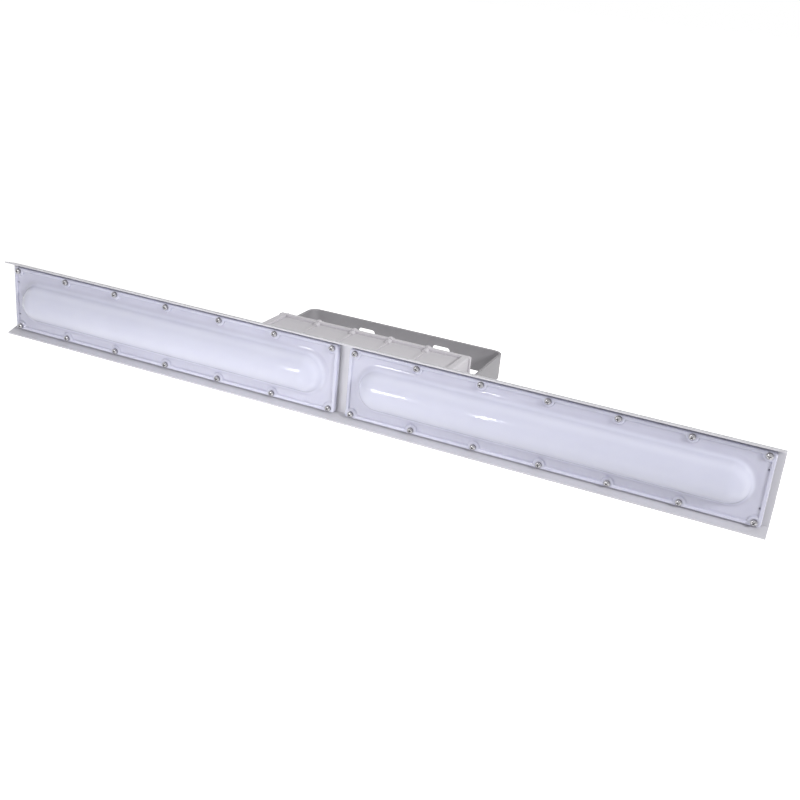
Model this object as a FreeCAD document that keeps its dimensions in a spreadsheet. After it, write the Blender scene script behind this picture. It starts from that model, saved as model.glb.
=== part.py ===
# Explosion-proof linear LED light on a tilting U bracket, as a parametric document.
# Frame: the wall plane is Y = 0, the lenses face -Y, X runs along the rail and Z is up.
# The tilt axis is the line Y = -pivot_reach, Z = 0. A "depth" is a distance in front of the wall.
import FreeCAD
import Part
import Sketcher
import math
import os
import re
from FreeCAD import Placement, Rotation, Vector

doc = FreeCAD.newDocument("linear_light")

# Driving dimensions, in millimetres and degrees. Diameters of fasteners are nominal.
SIZES = {
    # clearances shared by all screws
    "hole_clearance": 0.3,
    "thread_clearance": 0.1,
    "tap_allowance": 1.5,
    # U bracket, folded from strap
    "strap_width": 39,
    "strap_thickness": 4,
    "bracket_side_clearance": 6,
    "bend_radius": 12,
    "arm_overrun": 17,
    "arm_corner": 13,
    "pivot_reach": 158,
    "slot_length": 30,
    "slot_width": 12,
    "slot_spacing": 131,
    # tilt pivot at each end of the driver box
    "pivot_bolt": 10,
    "pivot_hole_clearance": 0.25,
    "pivot_gap": 0.2,
    "pivot_head_flats": 16,
    "pivot_head_height": 6.4,
    "pivot_engagement": 20,
    "friction_washer_diameter": 26,
    "friction_washer_thickness": 1.3,
    "flat_washer_diameter": 20,
    "flat_washer_thickness": 2,
    "spring_washer_diameter": 17,
    "spring_washer_thickness": 2.5,
    "washer_bore_clearance": 0.25,
    # driver box, cast with ribs and a bolted rear flange
    "box_width": 312,
    "box_height": 84,
    "box_depth": 66,
    "box_wall": 7,
    "end_wall": 8.5,
    "box_floor": 7,
    "flange_side": 2,
    "flange_lift": 4,
    "flange_thickness": 6,
    "flange_corner": 3,
    "flange_ear": 13,
    "flange_ear_lift": 2,
    "cover_boss": 9,
    "cover_boss_length": 10,
    "rib_width": 4,
    "rib_lift": 1.6,
    "rib_pitch": 60.2,
    "bay_count": 5,
    "end_rib_width": 10.5,
    "rib_root": 5,
    "pivot_to_seat": 30,
    "pivot_boss_diameter": 30,
    "pivot_boss_inside": 8,
    # rear cover and its joint
    "cover_thickness": 6,
    "cover_panel_height": 4,
    "cover_panel_inset": 14,
    "cover_spigot": 4,
    "spigot_width": 6,
    "spigot_clearance": 0.4,
    "cover_gasket_thickness": 1.5,
    "cover_inset": 3,
    "cover_corner": 5,
    "cover_screw": 4,
    "cover_screw_head": 7,
    "cover_screw_head_height": 4,
    "cover_screw_edge": 7,
    "cover_screw_engagement": 10.5,
    # rail, an extruded channel with flared lips and fins
    "rail_overhang": 9.2,
    "floor_thickness": 5,
    "lip_reach": 20.7,
    "lip_flare": 17.3,
    "lip_thickness": 2.1,
    "lip_heel": 3,
    "fin_height": 12,
    "fin_thickness": 2,
    "fin_pitch": 8,
    "fin_count": 6,
    "seat_rib_height": 14,
    "seat_rib_width": 11,
    "screw_bar_depth": 5,
    "screw_bar_inside": 5.5,
    "screw_bar_outside": 3.6,
    "screw_bar_chamfer": 2,
    # lenses, with a screwed flange and a capsule dome
    "screw_pitch": 95,
    "screw_count": 7,
    "screw_row_spacing": 93,
    "screw_end_edge": 9,
    "screw_row_edge": 5.3,
    "lens_gap": 18.6,
    "lens_side_clearance": 0.5,
    "lens_flange": 8.2,
    "lens_corner": 3,
    "lens_gasket_thickness": 2.5,
    "rim_width": 5,
    "rim_height": 2.5,
    "boss_margin": 0.5,
    "dome_width": 62,
    "dome_sink": 6,
    "dome_end_margin": 19.5,
    "lens_wall": 3.5,
    "lens_screw": 5,
    "lens_screw_head": 8.6,
    "lens_screw_head_height": 3.4,
    "lens_screw_engagement": 7,
    "lens_washer_diameter": 9.2,
    "lens_washer_thickness": 0.9,
    # light engines
    "board_gap": 1.5,
    "board_width": 44,
    "board_thickness": 1.6,
    "chip_size": 3.5,
    "chip_height": 0.8,
    "chip_rows": 2,
    "chip_row_spacing": 22,
    "chip_columns": 16,
    "board_screw": 3,
    "board_screw_head": 5.6,
    "board_screw_head_height": 2,
    "board_screw_engagement": 3,
    "board_screw_count": 5,
    "board_screw_margin": 16,
    # wire bushings between the box and the lens chambers
    "bushing_diameter": 12,
    "bushing_bore": 7,
    "bushing_flange": 18,
    "bushing_flange_thickness": 4,
    "bushing_edge": 1.5,
    "fin_clearing": 22,
    # screws that hold the box on the rail
    "box_screw": 6,
    "box_screw_head": 10,
    "box_screw_head_height": 6,
    "box_screw_engagement": 12,
    "box_screw_margin": 1,
    # LED driver and terminal block inside the box
    "driver_end_gap": 1.5,
    "driver_bushing_gap": 2.5,
    "driver_side_gap": 3,
    "driver_height": 32,
    "driver_lift": 8,
    "driver_ear": 10,
    "driver_ear_overlap": 6,
    "driver_screw": 4,
    "driver_screw_head": 7,
    "driver_screw_head_height": 2.6,
    "driver_screw_edge": 7,
    "inner_screw_engagement": 4,
    "terminal_length": 56,
    "terminal_width": 24,
    "terminal_height": 18,
    "terminal_ways": 3,
    "terminal_way_pitch": 13,
    "terminal_way_bore": 5,
    "terminal_screw_edge": 5,
    # cable gland and earth screw on the lower face
    "entry_setback": 33,
    "gland_thread": 20,
    "gland_thread_length": 12,
    "gland_hex_flats": 27,
    "gland_hex_height": 10,
    "gland_barrel": 18,
    "gland_barrel_length": 8,
    "gland_bore": 12,
    "gland_nut_flats": 26,
    "gland_nut_length": 15,
    "gland_nut_start": 1,
    "gland_nut_lip": 2,
    "gland_mouth": 10,
    "gland_clearance": 0.2,
    "earth_boss_diameter": 14,
    "earth_boss_height": 6,
    "earth_screw": 6,
    "earth_head_flats": 10,
    "earth_head_height": 4,
    "earth_engagement": 8,
    "earth_washer_diameter": 13,
    "earth_washer_thickness": 1.6,
}

# Places and sizes that follow from the driving dimensions.
DERIVED = {
    "seat_depth": "pivot_reach + pivot_to_seat",
    "flange_back": "seat_depth - box_depth",
    "flange_width": "box_width + 2 * flange_side",
    "flange_height": "box_height + 2 * flange_lift",
    "bracket_width": "flange_width + 2 * (bracket_side_clearance + strap_thickness)",
    "seat_rib_spacing": "box_height - 2 * box_wall - box_screw_head - 2 * box_screw_margin",
    "cover_front": "flange_back - cover_gasket_thickness",
    "cover_back": "cover_front - cover_thickness",
    "inner_wall": "seat_depth - box_floor",
    "floor_back": "seat_depth + seat_rib_height",
    "floor_front": "floor_back + floor_thickness",
    "lip_front": "floor_front + lip_reach",
    "lens_back": "floor_front + lens_gasket_thickness",
    "lens_face": "lens_back + lens_flange",
    "dome_axis": "lens_face - dome_sink",
    "dome_radius": "dome_width / 2",
    "boss_radius": "screw_end_edge - boss_margin",
    "cavity_radius": "dome_radius - lens_wall",
    "lens_length": "(screw_count - 1) * screw_pitch + 2 * screw_end_edge",
    "lens_height": "screw_row_spacing + 2 * screw_row_edge",
    "lens_center": "(lens_gap + lens_length) / 2",
    "rail_length": "2 * lens_length + lens_gap + 2 * rail_overhang",
    "channel_half": "lens_height / 2 + lens_side_clearance",
    "lip_tip": "channel_half + lip_reach * tan(lip_flare)",
    "lip_edge": "lip_thickness / cos(lip_flare)",
    "lip_root": "channel_half + lip_edge - floor_thickness * tan(lip_flare)",
    "dome_half": "lens_length / 2 - dome_end_margin",
    "dome_straight": "dome_half - dome_radius",
    "screw_span": "(screw_count - 1) * screw_pitch",
    "board_length": "2 * (dome_half - lens_wall - bushing_edge - bushing_diameter - board_gap)",
    "board_screw_span": "board_length - 2 * board_screw_margin",
    "bushing_place": "lens_gap / 2 + dome_end_margin + lens_wall + bushing_edge + bushing_diameter / 2",
    "boss_face": "bracket_width / 2 - strap_thickness - pivot_gap - friction_washer_thickness",
    "boss_root": "box_width / 2 - end_wall - pivot_boss_inside",
    "ear_row": "flange_height / 2 + flange_ear_lift - flange_ear / 2",
    "cover_width": "flange_width - 2 * cover_inset",
    "cover_height": "flange_height - 2 * cover_inset",
    "cover_row": "flange_height / 2 - cover_screw_edge",
    "cover_end": "flange_width / 2 - cover_screw_edge",
    "box_face_low": "-box_height / 2",
    "gland_depth": "seat_depth - entry_setback",
    "driver_high": "boss_root - driver_end_gap - driver_ear",
    "driver_low": "bushing_flange / 2 + driver_bushing_gap + driver_ear - (bushing_place)",
    "driver_width": "seat_rib_spacing - box_screw_head - 2 * driver_side_gap",
    "driver_screw_spacing": "driver_width - 2 * driver_screw_edge",
    "terminal_center": "-(bushing_place + bushing_flange / 2 + boss_root) / 2",
    "terminal_screw_spacing": "terminal_length - 2 * terminal_screw_edge",
}

# Sheet of driving dimensions: name in column A, number in column B.
sheet = doc.addObject("Spreadsheet::Sheet", "Sizes")
for row, (size_name, size_value) in enumerate(SIZES.items(), start=1):
    sheet.set(f"A{row}", size_name)
    sheet.set(f"B{row}", str(size_value))
    sheet.setAlias(f"B{row}", size_name)
doc.recompute()


def bound(text):
    """Point every size named in an expression at its cell, and open up derived names."""
    def cell(word):
        name = word.group()
        if name in SIZES:
            return "Sizes." + name
        if name in DERIVED:
            return "(" + bound(DERIVED[name]) + ")"
        return name
    return re.sub(r"[a-z][a-z_]*", cell, str(text))


def number(text):
    """Value of an expression at the sheet's present sizes."""
    return float(sheet.evalExpression(bound(text)))


def origin_part(body, role):
    """Origin plane or axis of a body, by its role."""
    return next(part for part in body.Origin.OriginFeatures if part.Role == role)


def new_body(label):
    """Empty body whose label names its file."""
    body = doc.addObject("PartDesign::Body", label)
    body.Label = label
    return body


def new_sketch(body, role, name, offset="0"):
    """Sketch on one of the body's own origin planes, shifted along the plane's normal."""
    sketch = body.newObject("Sketcher::SketchObject", name)
    sketch.AttachmentSupport = [(origin_part(body, role), "")]
    sketch.MapMode = "FlatFace"
    sketch.setExpression("AttachmentOffset.Base.z", bound(offset))
    return sketch


def place_point(sketch, curve, end, x, y):
    """Fix a point of a curve at two expressions from the sketch origin."""
    for kind, text in (("DistanceX", x), ("DistanceY", y)):
        index = sketch.addConstraint(Sketcher.Constraint(kind, -1, 1, curve, end, number(text)))
        sketch.setExpression(f"Constraints[{index}]", bound(text))


def polygon(sketch, corners):
    """Closed outline of straight edges through corners given as expressions."""
    points = [Vector(number(x), number(y), 0) for x, y in corners]
    first = sketch.GeometryCount
    count = len(points)
    for index in range(count):
        sketch.addGeometry(Part.LineSegment(points[index], points[(index + 1) % count]), False)
    for index, (x, y) in enumerate(corners):
        following = first + (index + 1) % count
        sketch.addConstraint(Sketcher.Constraint("Coincident", first + index, 2, following, 1))
        place_point(sketch, first + index, 1, x, y)


def rectangle(sketch, left, right, low, high):
    """Rectangle between two pairs of expressions."""
    polygon(sketch, [(left, low), (right, low), (right, high), (left, high)])


def circle(sketch, x, y, diameter):
    """Circle at a place given by expressions."""
    round_shape = Part.Circle(Vector(number(x), number(y), 0), Vector(0, 0, 1), number(diameter) / 2)
    index = sketch.addGeometry(round_shape, False)
    place_point(sketch, index, 3, x, y)
    datum = sketch.addConstraint(Sketcher.Constraint("Diameter", index, number(diameter)))
    sketch.setExpression(f"Constraints[{datum}]", bound(diameter))


def arc(sketch, x, y, radius, start_angle, end_angle):
    """Arc round a centre given by expressions; its ends are joined by the caller."""
    ring = Part.Circle(Vector(number(x), number(y), 0), Vector(0, 0, 1), number(radius))
    index = sketch.addGeometry(Part.ArcOfCircle(ring, start_angle, end_angle), False)
    place_point(sketch, index, 3, x, y)
    datum = sketch.addConstraint(Sketcher.Constraint("Radius", index, number(radius)))
    sketch.setExpression(f"Constraints[{datum}]", bound(radius))
    return index


def line(sketch, start, end, construction=False):
    """Straight edge between two points of the present sizes."""
    start_point = Vector(number(start[0]), number(start[1]), 0)
    end_point = Vector(number(end[0]), number(end[1]), 0)
    return sketch.addGeometry(Part.LineSegment(start_point, end_point), construction)


def join(sketch, first, first_end, second, second_end):
    """Make two curve ends coincide."""
    sketch.addConstraint(Sketcher.Constraint("Coincident", first, first_end, second, second_end))


def stadium(sketch, center_x, half_length, radius):
    """Slot outline along the sketch's x axis: two half circles joined by two straight edges."""
    left_x = f"{center_x} - ({half_length})"
    right_x = f"{center_x} + ({half_length})"
    right = arc(sketch, right_x, "0", radius, -math.pi / 2, math.pi / 2)
    left = arc(sketch, left_x, "0", radius, math.pi / 2, 3 * math.pi / 2)
    top = line(sketch, (right_x, radius), (left_x, radius))
    low = line(sketch, (left_x, f"-({radius})"), (right_x, f"-({radius})"))
    join(sketch, right, 2, top, 1)
    join(sketch, top, 2, left, 1)
    join(sketch, left, 2, low, 1)
    join(sketch, low, 2, right, 1)
    for curve in (right, left):
        for end in (1, 2):
            sketch.addConstraint(Sketcher.Constraint("Vertical", curve, 3, curve, end))


def pad(body, sketch, length, backward=False):
    """Raise a sketch along its normal, or against it."""
    feature = body.newObject("PartDesign::Pad", sketch.Name + "_pad")
    feature.Profile = sketch
    feature.setExpression("Length", bound(length))
    feature.Reversed = backward
    doc.recompute()
    return feature


def pocket(body, sketch, length, forward=False, both_ways=False):
    """Cut a sketch against its normal, along it, or to both sides, and check that it cut."""
    before = body.Shape.Volume
    feature = body.newObject("PartDesign::Pocket", sketch.Name + "_pocket")
    feature.Profile = sketch
    feature.setExpression("Length", bound(length))
    feature.Reversed = forward
    if both_ways:
        feature.SideType = "Symmetric"
    doc.recompute()
    if body.Shape.Volume >= before:
        raise RuntimeError(f"{feature.Name} cut nothing")
    return feature


def turned(body, sketch, kind):
    """Revolve a sketch a full turn about its construction line."""
    feature = body.newObject(kind, sketch.Name + "_turn")
    feature.Profile = sketch
    feature.ReferenceAxis = (sketch, ["Axis0"])
    feature.Angle = 360
    doc.recompute()
    return feature


def row_of(body, name, originals, axis_role, length, count):
    """Linear pattern along an origin axis."""
    feature = body.newObject("PartDesign::LinearPattern", name)
    feature.Originals = originals
    feature.Direction = (origin_part(body, axis_role), [""])
    feature.setExpression("Length", bound(length))
    feature.setExpression("Occurrences", bound(count))
    body.Tip = feature
    doc.recompute()
    return feature


def mirrored(body, name, originals, plane_role):
    """Mirror features across an origin plane."""
    feature = body.newObject("PartDesign::Mirrored", name)
    feature.Originals = originals
    feature.MirrorPlane = (origin_part(body, plane_role), [""])
    body.Tip = feature
    doc.recompute()
    return feature


def rounded(body, name, radius, chosen):
    """Fillet the straight edges that a test of their middle point and direction picks."""
    base = body.Tip
    names = []
    for index, edge in enumerate(base.Shape.Edges, start=1):
        if isinstance(edge.Curve, Part.Line):
            ends = [vertex.Point for vertex in edge.Vertexes]
            run = (ends[1] - ends[0]).normalize()
            if chosen((ends[0] + ends[1]) / 2, run):
                names.append(f"Edge{index}")
    feature = body.newObject("PartDesign::Fillet", name)
    feature.Base = (base, names)
    feature.setExpression("Radius", bound(radius))
    doc.recompute()
    return feature


def block(name, x, y, z):
    """Box between three pairs of expressions."""
    solid = doc.addObject("Part::Box", name)
    for size_name, axis, (low, high) in zip(("Length", "Width", "Height"), "xyz", (x, y, z)):
        solid.setExpression(size_name, bound(f"({high}) - ({low})"))
        solid.setExpression(f"Placement.Base.{axis}", bound(low))
    return solid


TURNS = {
    "x": Rotation(Vector(0, 1, 0), 90),
    "y": Rotation(Vector(1, 0, 0), -90),
    "z": Rotation(),
}


def set_axis(solid, axis, start, center):
    """Stand a primitive on an axis: start along it, center on the other two axes."""
    solid.Placement = Placement(Vector(), TURNS[axis])
    others = [letter for letter in "xyz" if letter != axis]
    solid.setExpression(f"Placement.Base.{axis}", bound(start))
    for letter, text in zip(others, center):
        solid.setExpression(f"Placement.Base.{letter}", bound(text))


def rod(name, axis, diameter, start, end, center=("0", "0")):
    """Round bar along an axis between two expressions."""
    solid = doc.addObject("Part::Cylinder", name)
    solid.setExpression("Radius", bound(f"({diameter}) / 2"))
    solid.setExpression("Height", bound(f"({end}) - ({start})"))
    set_axis(solid, axis, start, center)
    return solid


def hexagon(name, axis, flats, start, end, center=("0", "0")):
    """Hexagonal bar along an axis, sized across its flats."""
    solid = doc.addObject("Part::Prism", name)
    solid.Polygon = 6
    solid.setExpression("Circumradius", bound(f"({flats}) / 2 / cos(30)"))
    solid.setExpression("Height", bound(f"({end}) - ({start})"))
    set_axis(solid, axis, start, center)
    return solid


def fused(name, pieces):
    """Union of several solids."""
    solid = doc.addObject("Part::MultiFuse", name)
    solid.Shapes = pieces
    solid.Refine = True
    return solid


def cut(name, base, tool):
    """One solid less another."""
    solid = doc.addObject("Part::Cut", name)
    solid.Base = base
    solid.Tool = tool
    return solid


def washer(name, axis, diameter, bore, start, end, center=("0", "0")):
    """Flat ring along an axis."""
    disc = rod(name + "_disc", axis, diameter, start, end, center)
    hole = rod(name + "_bore", axis, bore, f"{start} - 1", f"{end} + 1", center)
    return cut(name, disc, hole)


def screw(name, head_diameter, head_height, shank_diameter, seat, tip, head_side):
    """Round-head screw along Y at X = Z = 0: the head stands on the seat, on the side given."""
    top = f"{seat} + {head_height}" if head_side > 0 else f"{seat} - ({head_height})"
    low, high = (seat, top) if head_side > 0 else (top, seat)
    head = rod(name + "_head", "y", head_diameter, low, high)
    start, end = (tip, seat) if head_side > 0 else (seat, tip)
    shank = rod(name + "_shank", "y", shank_diameter, start, end)
    return fused(name, [head, shank])


finished = []


def keep(label, solid):
    """Name a finished sub-part."""
    solid.Label = label
    finished.append(solid)


def keep_group(label, master, places):
    """Name a group of copies of one solid, each moved to an (x, y, z) place."""
    doc.recompute()
    copies = []
    for place in places:
        copy = master.Shape.copy()
        copy.translate(Vector(*place))
        copies.append(copy)
    group = doc.addObject("Part::Feature", label)
    group.Shape = Part.makeCompound(copies)
    keep(label, group)


def spread(count, span):
    """Evenly spaced places centred on zero."""
    steps = int(round(count)) - 1
    return [span * (index / steps - 0.5) for index in range(steps + 1)]


lens_sides = {"left": -1, "right": 1}
signs = ("-", "")


def make_bracket():
    """U strap: base on the wall, two arms forward, two slots in the base, a pivot hole in each arm."""
    body = new_body("mounting_bracket")
    half = "bracket_width / 2"
    inner = "bracket_width / 2 - strap_thickness"
    arm_end = "-(pivot_reach + arm_overrun)"
    fold = new_sketch(body, "XY_Plane", "strap_fold", "-strap_width / 2")
    polygon(fold, [
        (f"-({half})", "0"), (half, "0"), (half, arm_end), (inner, arm_end),
        (inner, "-strap_thickness"), (f"-({inner})", "-strap_thickness"),
        (f"-({inner})", arm_end), (f"-({half})", arm_end),
    ])
    pad(body, fold, "strap_width")
    thickness = number("strap_thickness")

    def outer_bend(middle, run):
        return abs(run.z) > 0.9 and abs(middle.y) < thickness / 2

    def inner_bend(middle, run):
        return abs(run.z) > 0.9 and abs(middle.y + thickness) < thickness / 2

    def arm_corner(middle, run):
        return abs(run.x) > 0.9 and abs(middle.y - number(arm_end)) < thickness / 2

    rounded(body, "outer_bends", "bend_radius + strap_thickness", outer_bend)
    rounded(body, "inner_bends", "bend_radius", inner_bend)
    rounded(body, "arm_corners", "arm_corner", arm_corner)
    slots = new_sketch(body, "XZ_Plane", "fixing_slots")
    for sign in signs:
        stadium(slots, f"{sign}slot_spacing / 2", "(slot_length - slot_width) / 2", "slot_width / 2")
    pocket(body, slots, "4 * strap_thickness", both_ways=True)
    pivots = new_sketch(body, "YZ_Plane", "pivot_holes")
    circle(pivots, "-pivot_reach", "0", "pivot_bolt + 2 * pivot_hole_clearance")
    pocket(body, pivots, "2 * bracket_width", both_ways=True)
    keep("mounting_bracket", body)


def make_rail():
    """Extruded channel: floor, two flared lips, fins, seat ribs and tapped bars, then drilled."""
    body = new_body("rail")
    start = "-(rail_length) / 2"
    channel = new_sketch(body, "YZ_Plane", "channel", start)
    polygon(channel, [
        ("-(floor_front)", "-(channel_half)"), ("-(lip_front)", "-(lip_tip)"),
        ("-(lip_front)", "-(lip_tip + lip_edge)"), ("-(floor_back)", "-(lip_root)"),
        ("-(floor_back)", "lip_root"), ("-(lip_front)", "lip_tip + lip_edge"),
        ("-(lip_front)", "lip_tip"), ("-(floor_front)", "channel_half"),
    ])
    pad(body, channel, "rail_length")
    heel_depth = number("floor_back")

    def heel(middle, run):
        return abs(run.x) > 0.9 and abs(middle.y + heel_depth) < 0.01

    rounded(body, "lip_heels", "lip_heel", heel)
    middle = "-(floor_back + floor_thickness / 2)"
    first_fin = "-(fin_count - 1) * fin_pitch / 2"
    fin = new_sketch(body, "YZ_Plane", "fin", start)
    rectangle(fin, middle, "-(floor_back - fin_height)",
              f"{first_fin} - fin_thickness / 2", f"{first_fin} + fin_thickness / 2")
    fin_pad = pad(body, fin, "rail_length")
    row_of(body, "fins", [fin_pad], "Z_Axis", "(fin_count - 1) * fin_pitch", "fin_count")
    ribs = new_sketch(body, "YZ_Plane", "seat_ribs", start)
    bars = new_sketch(body, "YZ_Plane", "screw_bars", start)
    for sign in signs:
        rib = f"{sign}(seat_rib_spacing) / 2"
        rectangle(ribs, middle, "-(seat_depth)", f"{rib} - seat_rib_width / 2", f"{rib} + seat_rib_width / 2")
        bar_back = "-(floor_back - screw_bar_depth)"
        inside = f"{sign}(screw_row_spacing / 2 - screw_bar_inside)"
        outside = f"{sign}(screw_row_spacing / 2 + screw_bar_outside)"
        chamfered = f"{sign}(screw_row_spacing / 2 + screw_bar_outside - screw_bar_chamfer)"
        polygon(bars, [(middle, inside), (bar_back, inside), (bar_back, chamfered),
                       (f"{bar_back} - screw_bar_chamfer", outside), (middle, outside)])
    pad(body, ribs, "rail_length")
    pad(body, bars, "rail_length")
    lens_holes = new_sketch(body, "XZ_Plane", "lens_screw_holes", "floor_front")
    board_holes = new_sketch(body, "XZ_Plane", "board_screw_holes", "floor_front")
    bushing_holes = new_sketch(body, "XZ_Plane", "bushing_holes", "floor_front")
    clearings = new_sketch(body, "XZ_Plane", "fin_clearings", "floor_back")
    for sign in signs:
        center = f"{sign}(lens_center)"
        for row in signs:
            circle(lens_holes, f"{center} - screw_span / 2", f"{row}screw_row_spacing / 2",
                   "lens_screw + 2 * thread_clearance")
        circle(board_holes, f"{center} - board_screw_span / 2", "0", "board_screw + 2 * thread_clearance")
        circle(bushing_holes, f"{sign}(bushing_place)", "0", "bushing_diameter + 2 * thread_clearance")
        circle(clearings, f"{sign}(bushing_place)", "0", "fin_clearing")
    drilled = pocket(body, lens_holes, "lens_screw_engagement + tap_allowance")
    row_of(body, "lens_screw_row", [drilled], "X_Axis", "screw_span", "screw_count")
    tapped = pocket(body, board_holes, "board_screw_engagement + tap_allowance")
    row_of(body, "board_screw_row", [tapped], "X_Axis", "board_screw_span", "board_screw_count")
    pocket(body, clearings, "seat_rib_height")
    pocket(body, bushing_holes, "floor_thickness")
    seat_holes = new_sketch(body, "XZ_Plane", "seat_holes", "seat_depth")
    for x in box_screw_columns():
        for row in signs:
            circle(seat_holes, x, f"{row}(seat_rib_spacing) / 2", "box_screw + 2 * thread_clearance")
    pocket(body, seat_holes, "box_screw_engagement + tap_allowance", forward=True)
    keep("rail", body)


def box_screw_columns():
    """Places along X of the screws that hold the box on the rail."""
    return ["-2 * rib_pitch", "0", "2 * rib_pitch"]


def half_round(sketch, radius):
    """Section of the dome across the lens: a flat on the lens's back and an arc in front of it."""
    back = number("-(lens_back)")
    half_chord = math.sqrt(number(radius) ** 2 - number("dome_axis - lens_back") ** 2)
    lean = math.asin(number("dome_axis - lens_back") / number(radius))
    curve = arc(sketch, "-(dome_axis)", "0", radius, math.pi / 2 - lean, 3 * math.pi / 2 + lean)
    low = Vector(back, -half_chord, 0)
    high = Vector(back, half_chord, 0)
    flat = sketch.addGeometry(Part.LineSegment(low, high), False)
    join(sketch, curve, 2, flat, 1)
    join(sketch, flat, 2, curve, 1)
    sketch.addConstraint(Sketcher.Constraint("Vertical", flat))
    datum = sketch.addConstraint(Sketcher.Constraint("DistanceX", -1, 1, flat, 1, back))
    sketch.setExpression(f"Constraints[{datum}]", bound("-(lens_back)"))


def quarter_round(sketch, radius):
    """Half section of a dome end, beside the axis that it is turned about."""
    half_chord = math.sqrt(number(radius) ** 2 - number("dome_axis - lens_back") ** 2)
    lean = math.asin(number("dome_axis - lens_back") / number(radius))
    axis_x = "dome_straight"
    top = f"-(dome_axis + {radius})"
    curve = arc(sketch, axis_x, "-(dome_axis)", radius, -math.pi / 2, lean)
    back = number("-(lens_back)")
    inner = Vector(number(axis_x), back, 0)
    outer = Vector(number(axis_x) + half_chord, back, 0)
    foot = sketch.addGeometry(Part.LineSegment(outer, inner), False)
    spine = line(sketch, (axis_x, "-(lens_back)"), (axis_x, top))
    join(sketch, curve, 2, foot, 1)
    join(sketch, foot, 2, spine, 1)
    join(sketch, spine, 2, curve, 1)
    place_point(sketch, foot, 2, axis_x, "-(lens_back)")
    sketch.addConstraint(Sketcher.Constraint("Horizontal", foot))
    sketch.addConstraint(Sketcher.Constraint("Vertical", spine))
    axis = line(sketch, (axis_x, "-(lens_back)"), (axis_x, top), construction=True)
    join(sketch, axis, 1, spine, 1)
    join(sketch, axis, 2, spine, 2)


def screw_boss(sketch, x, row):
    """Half disc that joins a screw hole to the rim; row is the sign of the screw row."""
    inward = "" if row == "-" else "-"
    center = f"{row}screw_row_spacing / 2"
    outer = f"{row}(screw_row_spacing / 2 + screw_row_edge / 2)"
    left = f"{x} - boss_radius"
    right = f"{x} + boss_radius"
    start_angle = math.pi if inward else 0
    curve = arc(sketch, x, center, "boss_radius", start_angle, start_angle + math.pi)
    start_x, end_x = (left, right) if inward else (right, left)
    first = line(sketch, (end_x, center), (end_x, outer))
    second = line(sketch, (end_x, outer), (start_x, outer))
    third = line(sketch, (start_x, outer), (start_x, center))
    join(sketch, curve, 2, first, 1)
    join(sketch, first, 2, second, 1)
    join(sketch, second, 2, third, 1)
    join(sketch, third, 2, curve, 1)
    place_point(sketch, first, 2, end_x, outer)
    place_point(sketch, third, 1, start_x, outer)
    for end in (1, 2):
        sketch.addConstraint(Sketcher.Constraint("Horizontal", curve, 3, curve, end))


def along_depth(middle, run):
    """Edges that run straight away from the wall."""
    return abs(run.y) > 0.9


def make_lens(side):
    """Moulded lens: flange with a rim and screw bosses, and a hollow capsule dome."""
    body = new_body("lens_" + side)
    half_x = "lens_length / 2"
    half_z = "lens_height / 2"
    plate = new_sketch(body, "XZ_Plane", side + "_flange", "lens_back")
    rectangle(plate, f"-({half_x})", half_x, f"-({half_z})", half_z)
    pad(body, plate, "lens_flange")
    rounded(body, side + "_corners", "lens_corner", along_depth)
    recess = new_sketch(body, "XZ_Plane", side + "_recess", "lens_face")
    rectangle(recess, f"-({half_x} - rim_width)", f"{half_x} - rim_width",
              f"-({half_z} - rim_width)", f"{half_z} - rim_width")
    pocket(body, recess, "rim_height")
    first_x = "-(screw_span) / 2"
    bosses = new_sketch(body, "XZ_Plane", side + "_bosses", "lens_face - rim_height")
    holes = new_sketch(body, "XZ_Plane", side + "_holes", "lens_face")
    for row in signs:
        screw_boss(bosses, first_x, row)
        circle(holes, first_x, f"{row}screw_row_spacing / 2", "lens_screw + 2 * hole_clearance")
    boss_pad = pad(body, bosses, "rim_height")
    hole_cut = pocket(body, holes, "lens_flange")
    row_of(body, side + "_boss_row", [boss_pad, hole_cut], "X_Axis", "screw_span", "screw_count")
    dome = new_sketch(body, "YZ_Plane", side + "_dome", "-(dome_straight)")
    half_round(dome, "dome_radius")
    pad(body, dome, "2 * (dome_straight)")
    dome_end = new_sketch(body, "XY_Plane", side + "_dome_end")
    quarter_round(dome_end, "dome_radius")
    end_turn = turned(body, dome_end, "PartDesign::Revolution")
    mirrored(body, side + "_dome_ends", [end_turn], "YZ_Plane")
    hollow = new_sketch(body, "YZ_Plane", side + "_hollow", "-(dome_straight)")
    half_round(hollow, "cavity_radius")
    pocket(body, hollow, "2 * (dome_straight)", forward=True)
    hollow_end = new_sketch(body, "XY_Plane", side + "_hollow_end")
    quarter_round(hollow_end, "cavity_radius")
    end_groove = turned(body, hollow_end, "PartDesign::Groove")
    mirrored(body, side + "_hollow_ends", [end_groove], "YZ_Plane")
    body.setExpression("Placement.Base.x", bound(f"{lens_sides[side]} * (lens_center)"))
    keep("lens_" + side, body)


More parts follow.
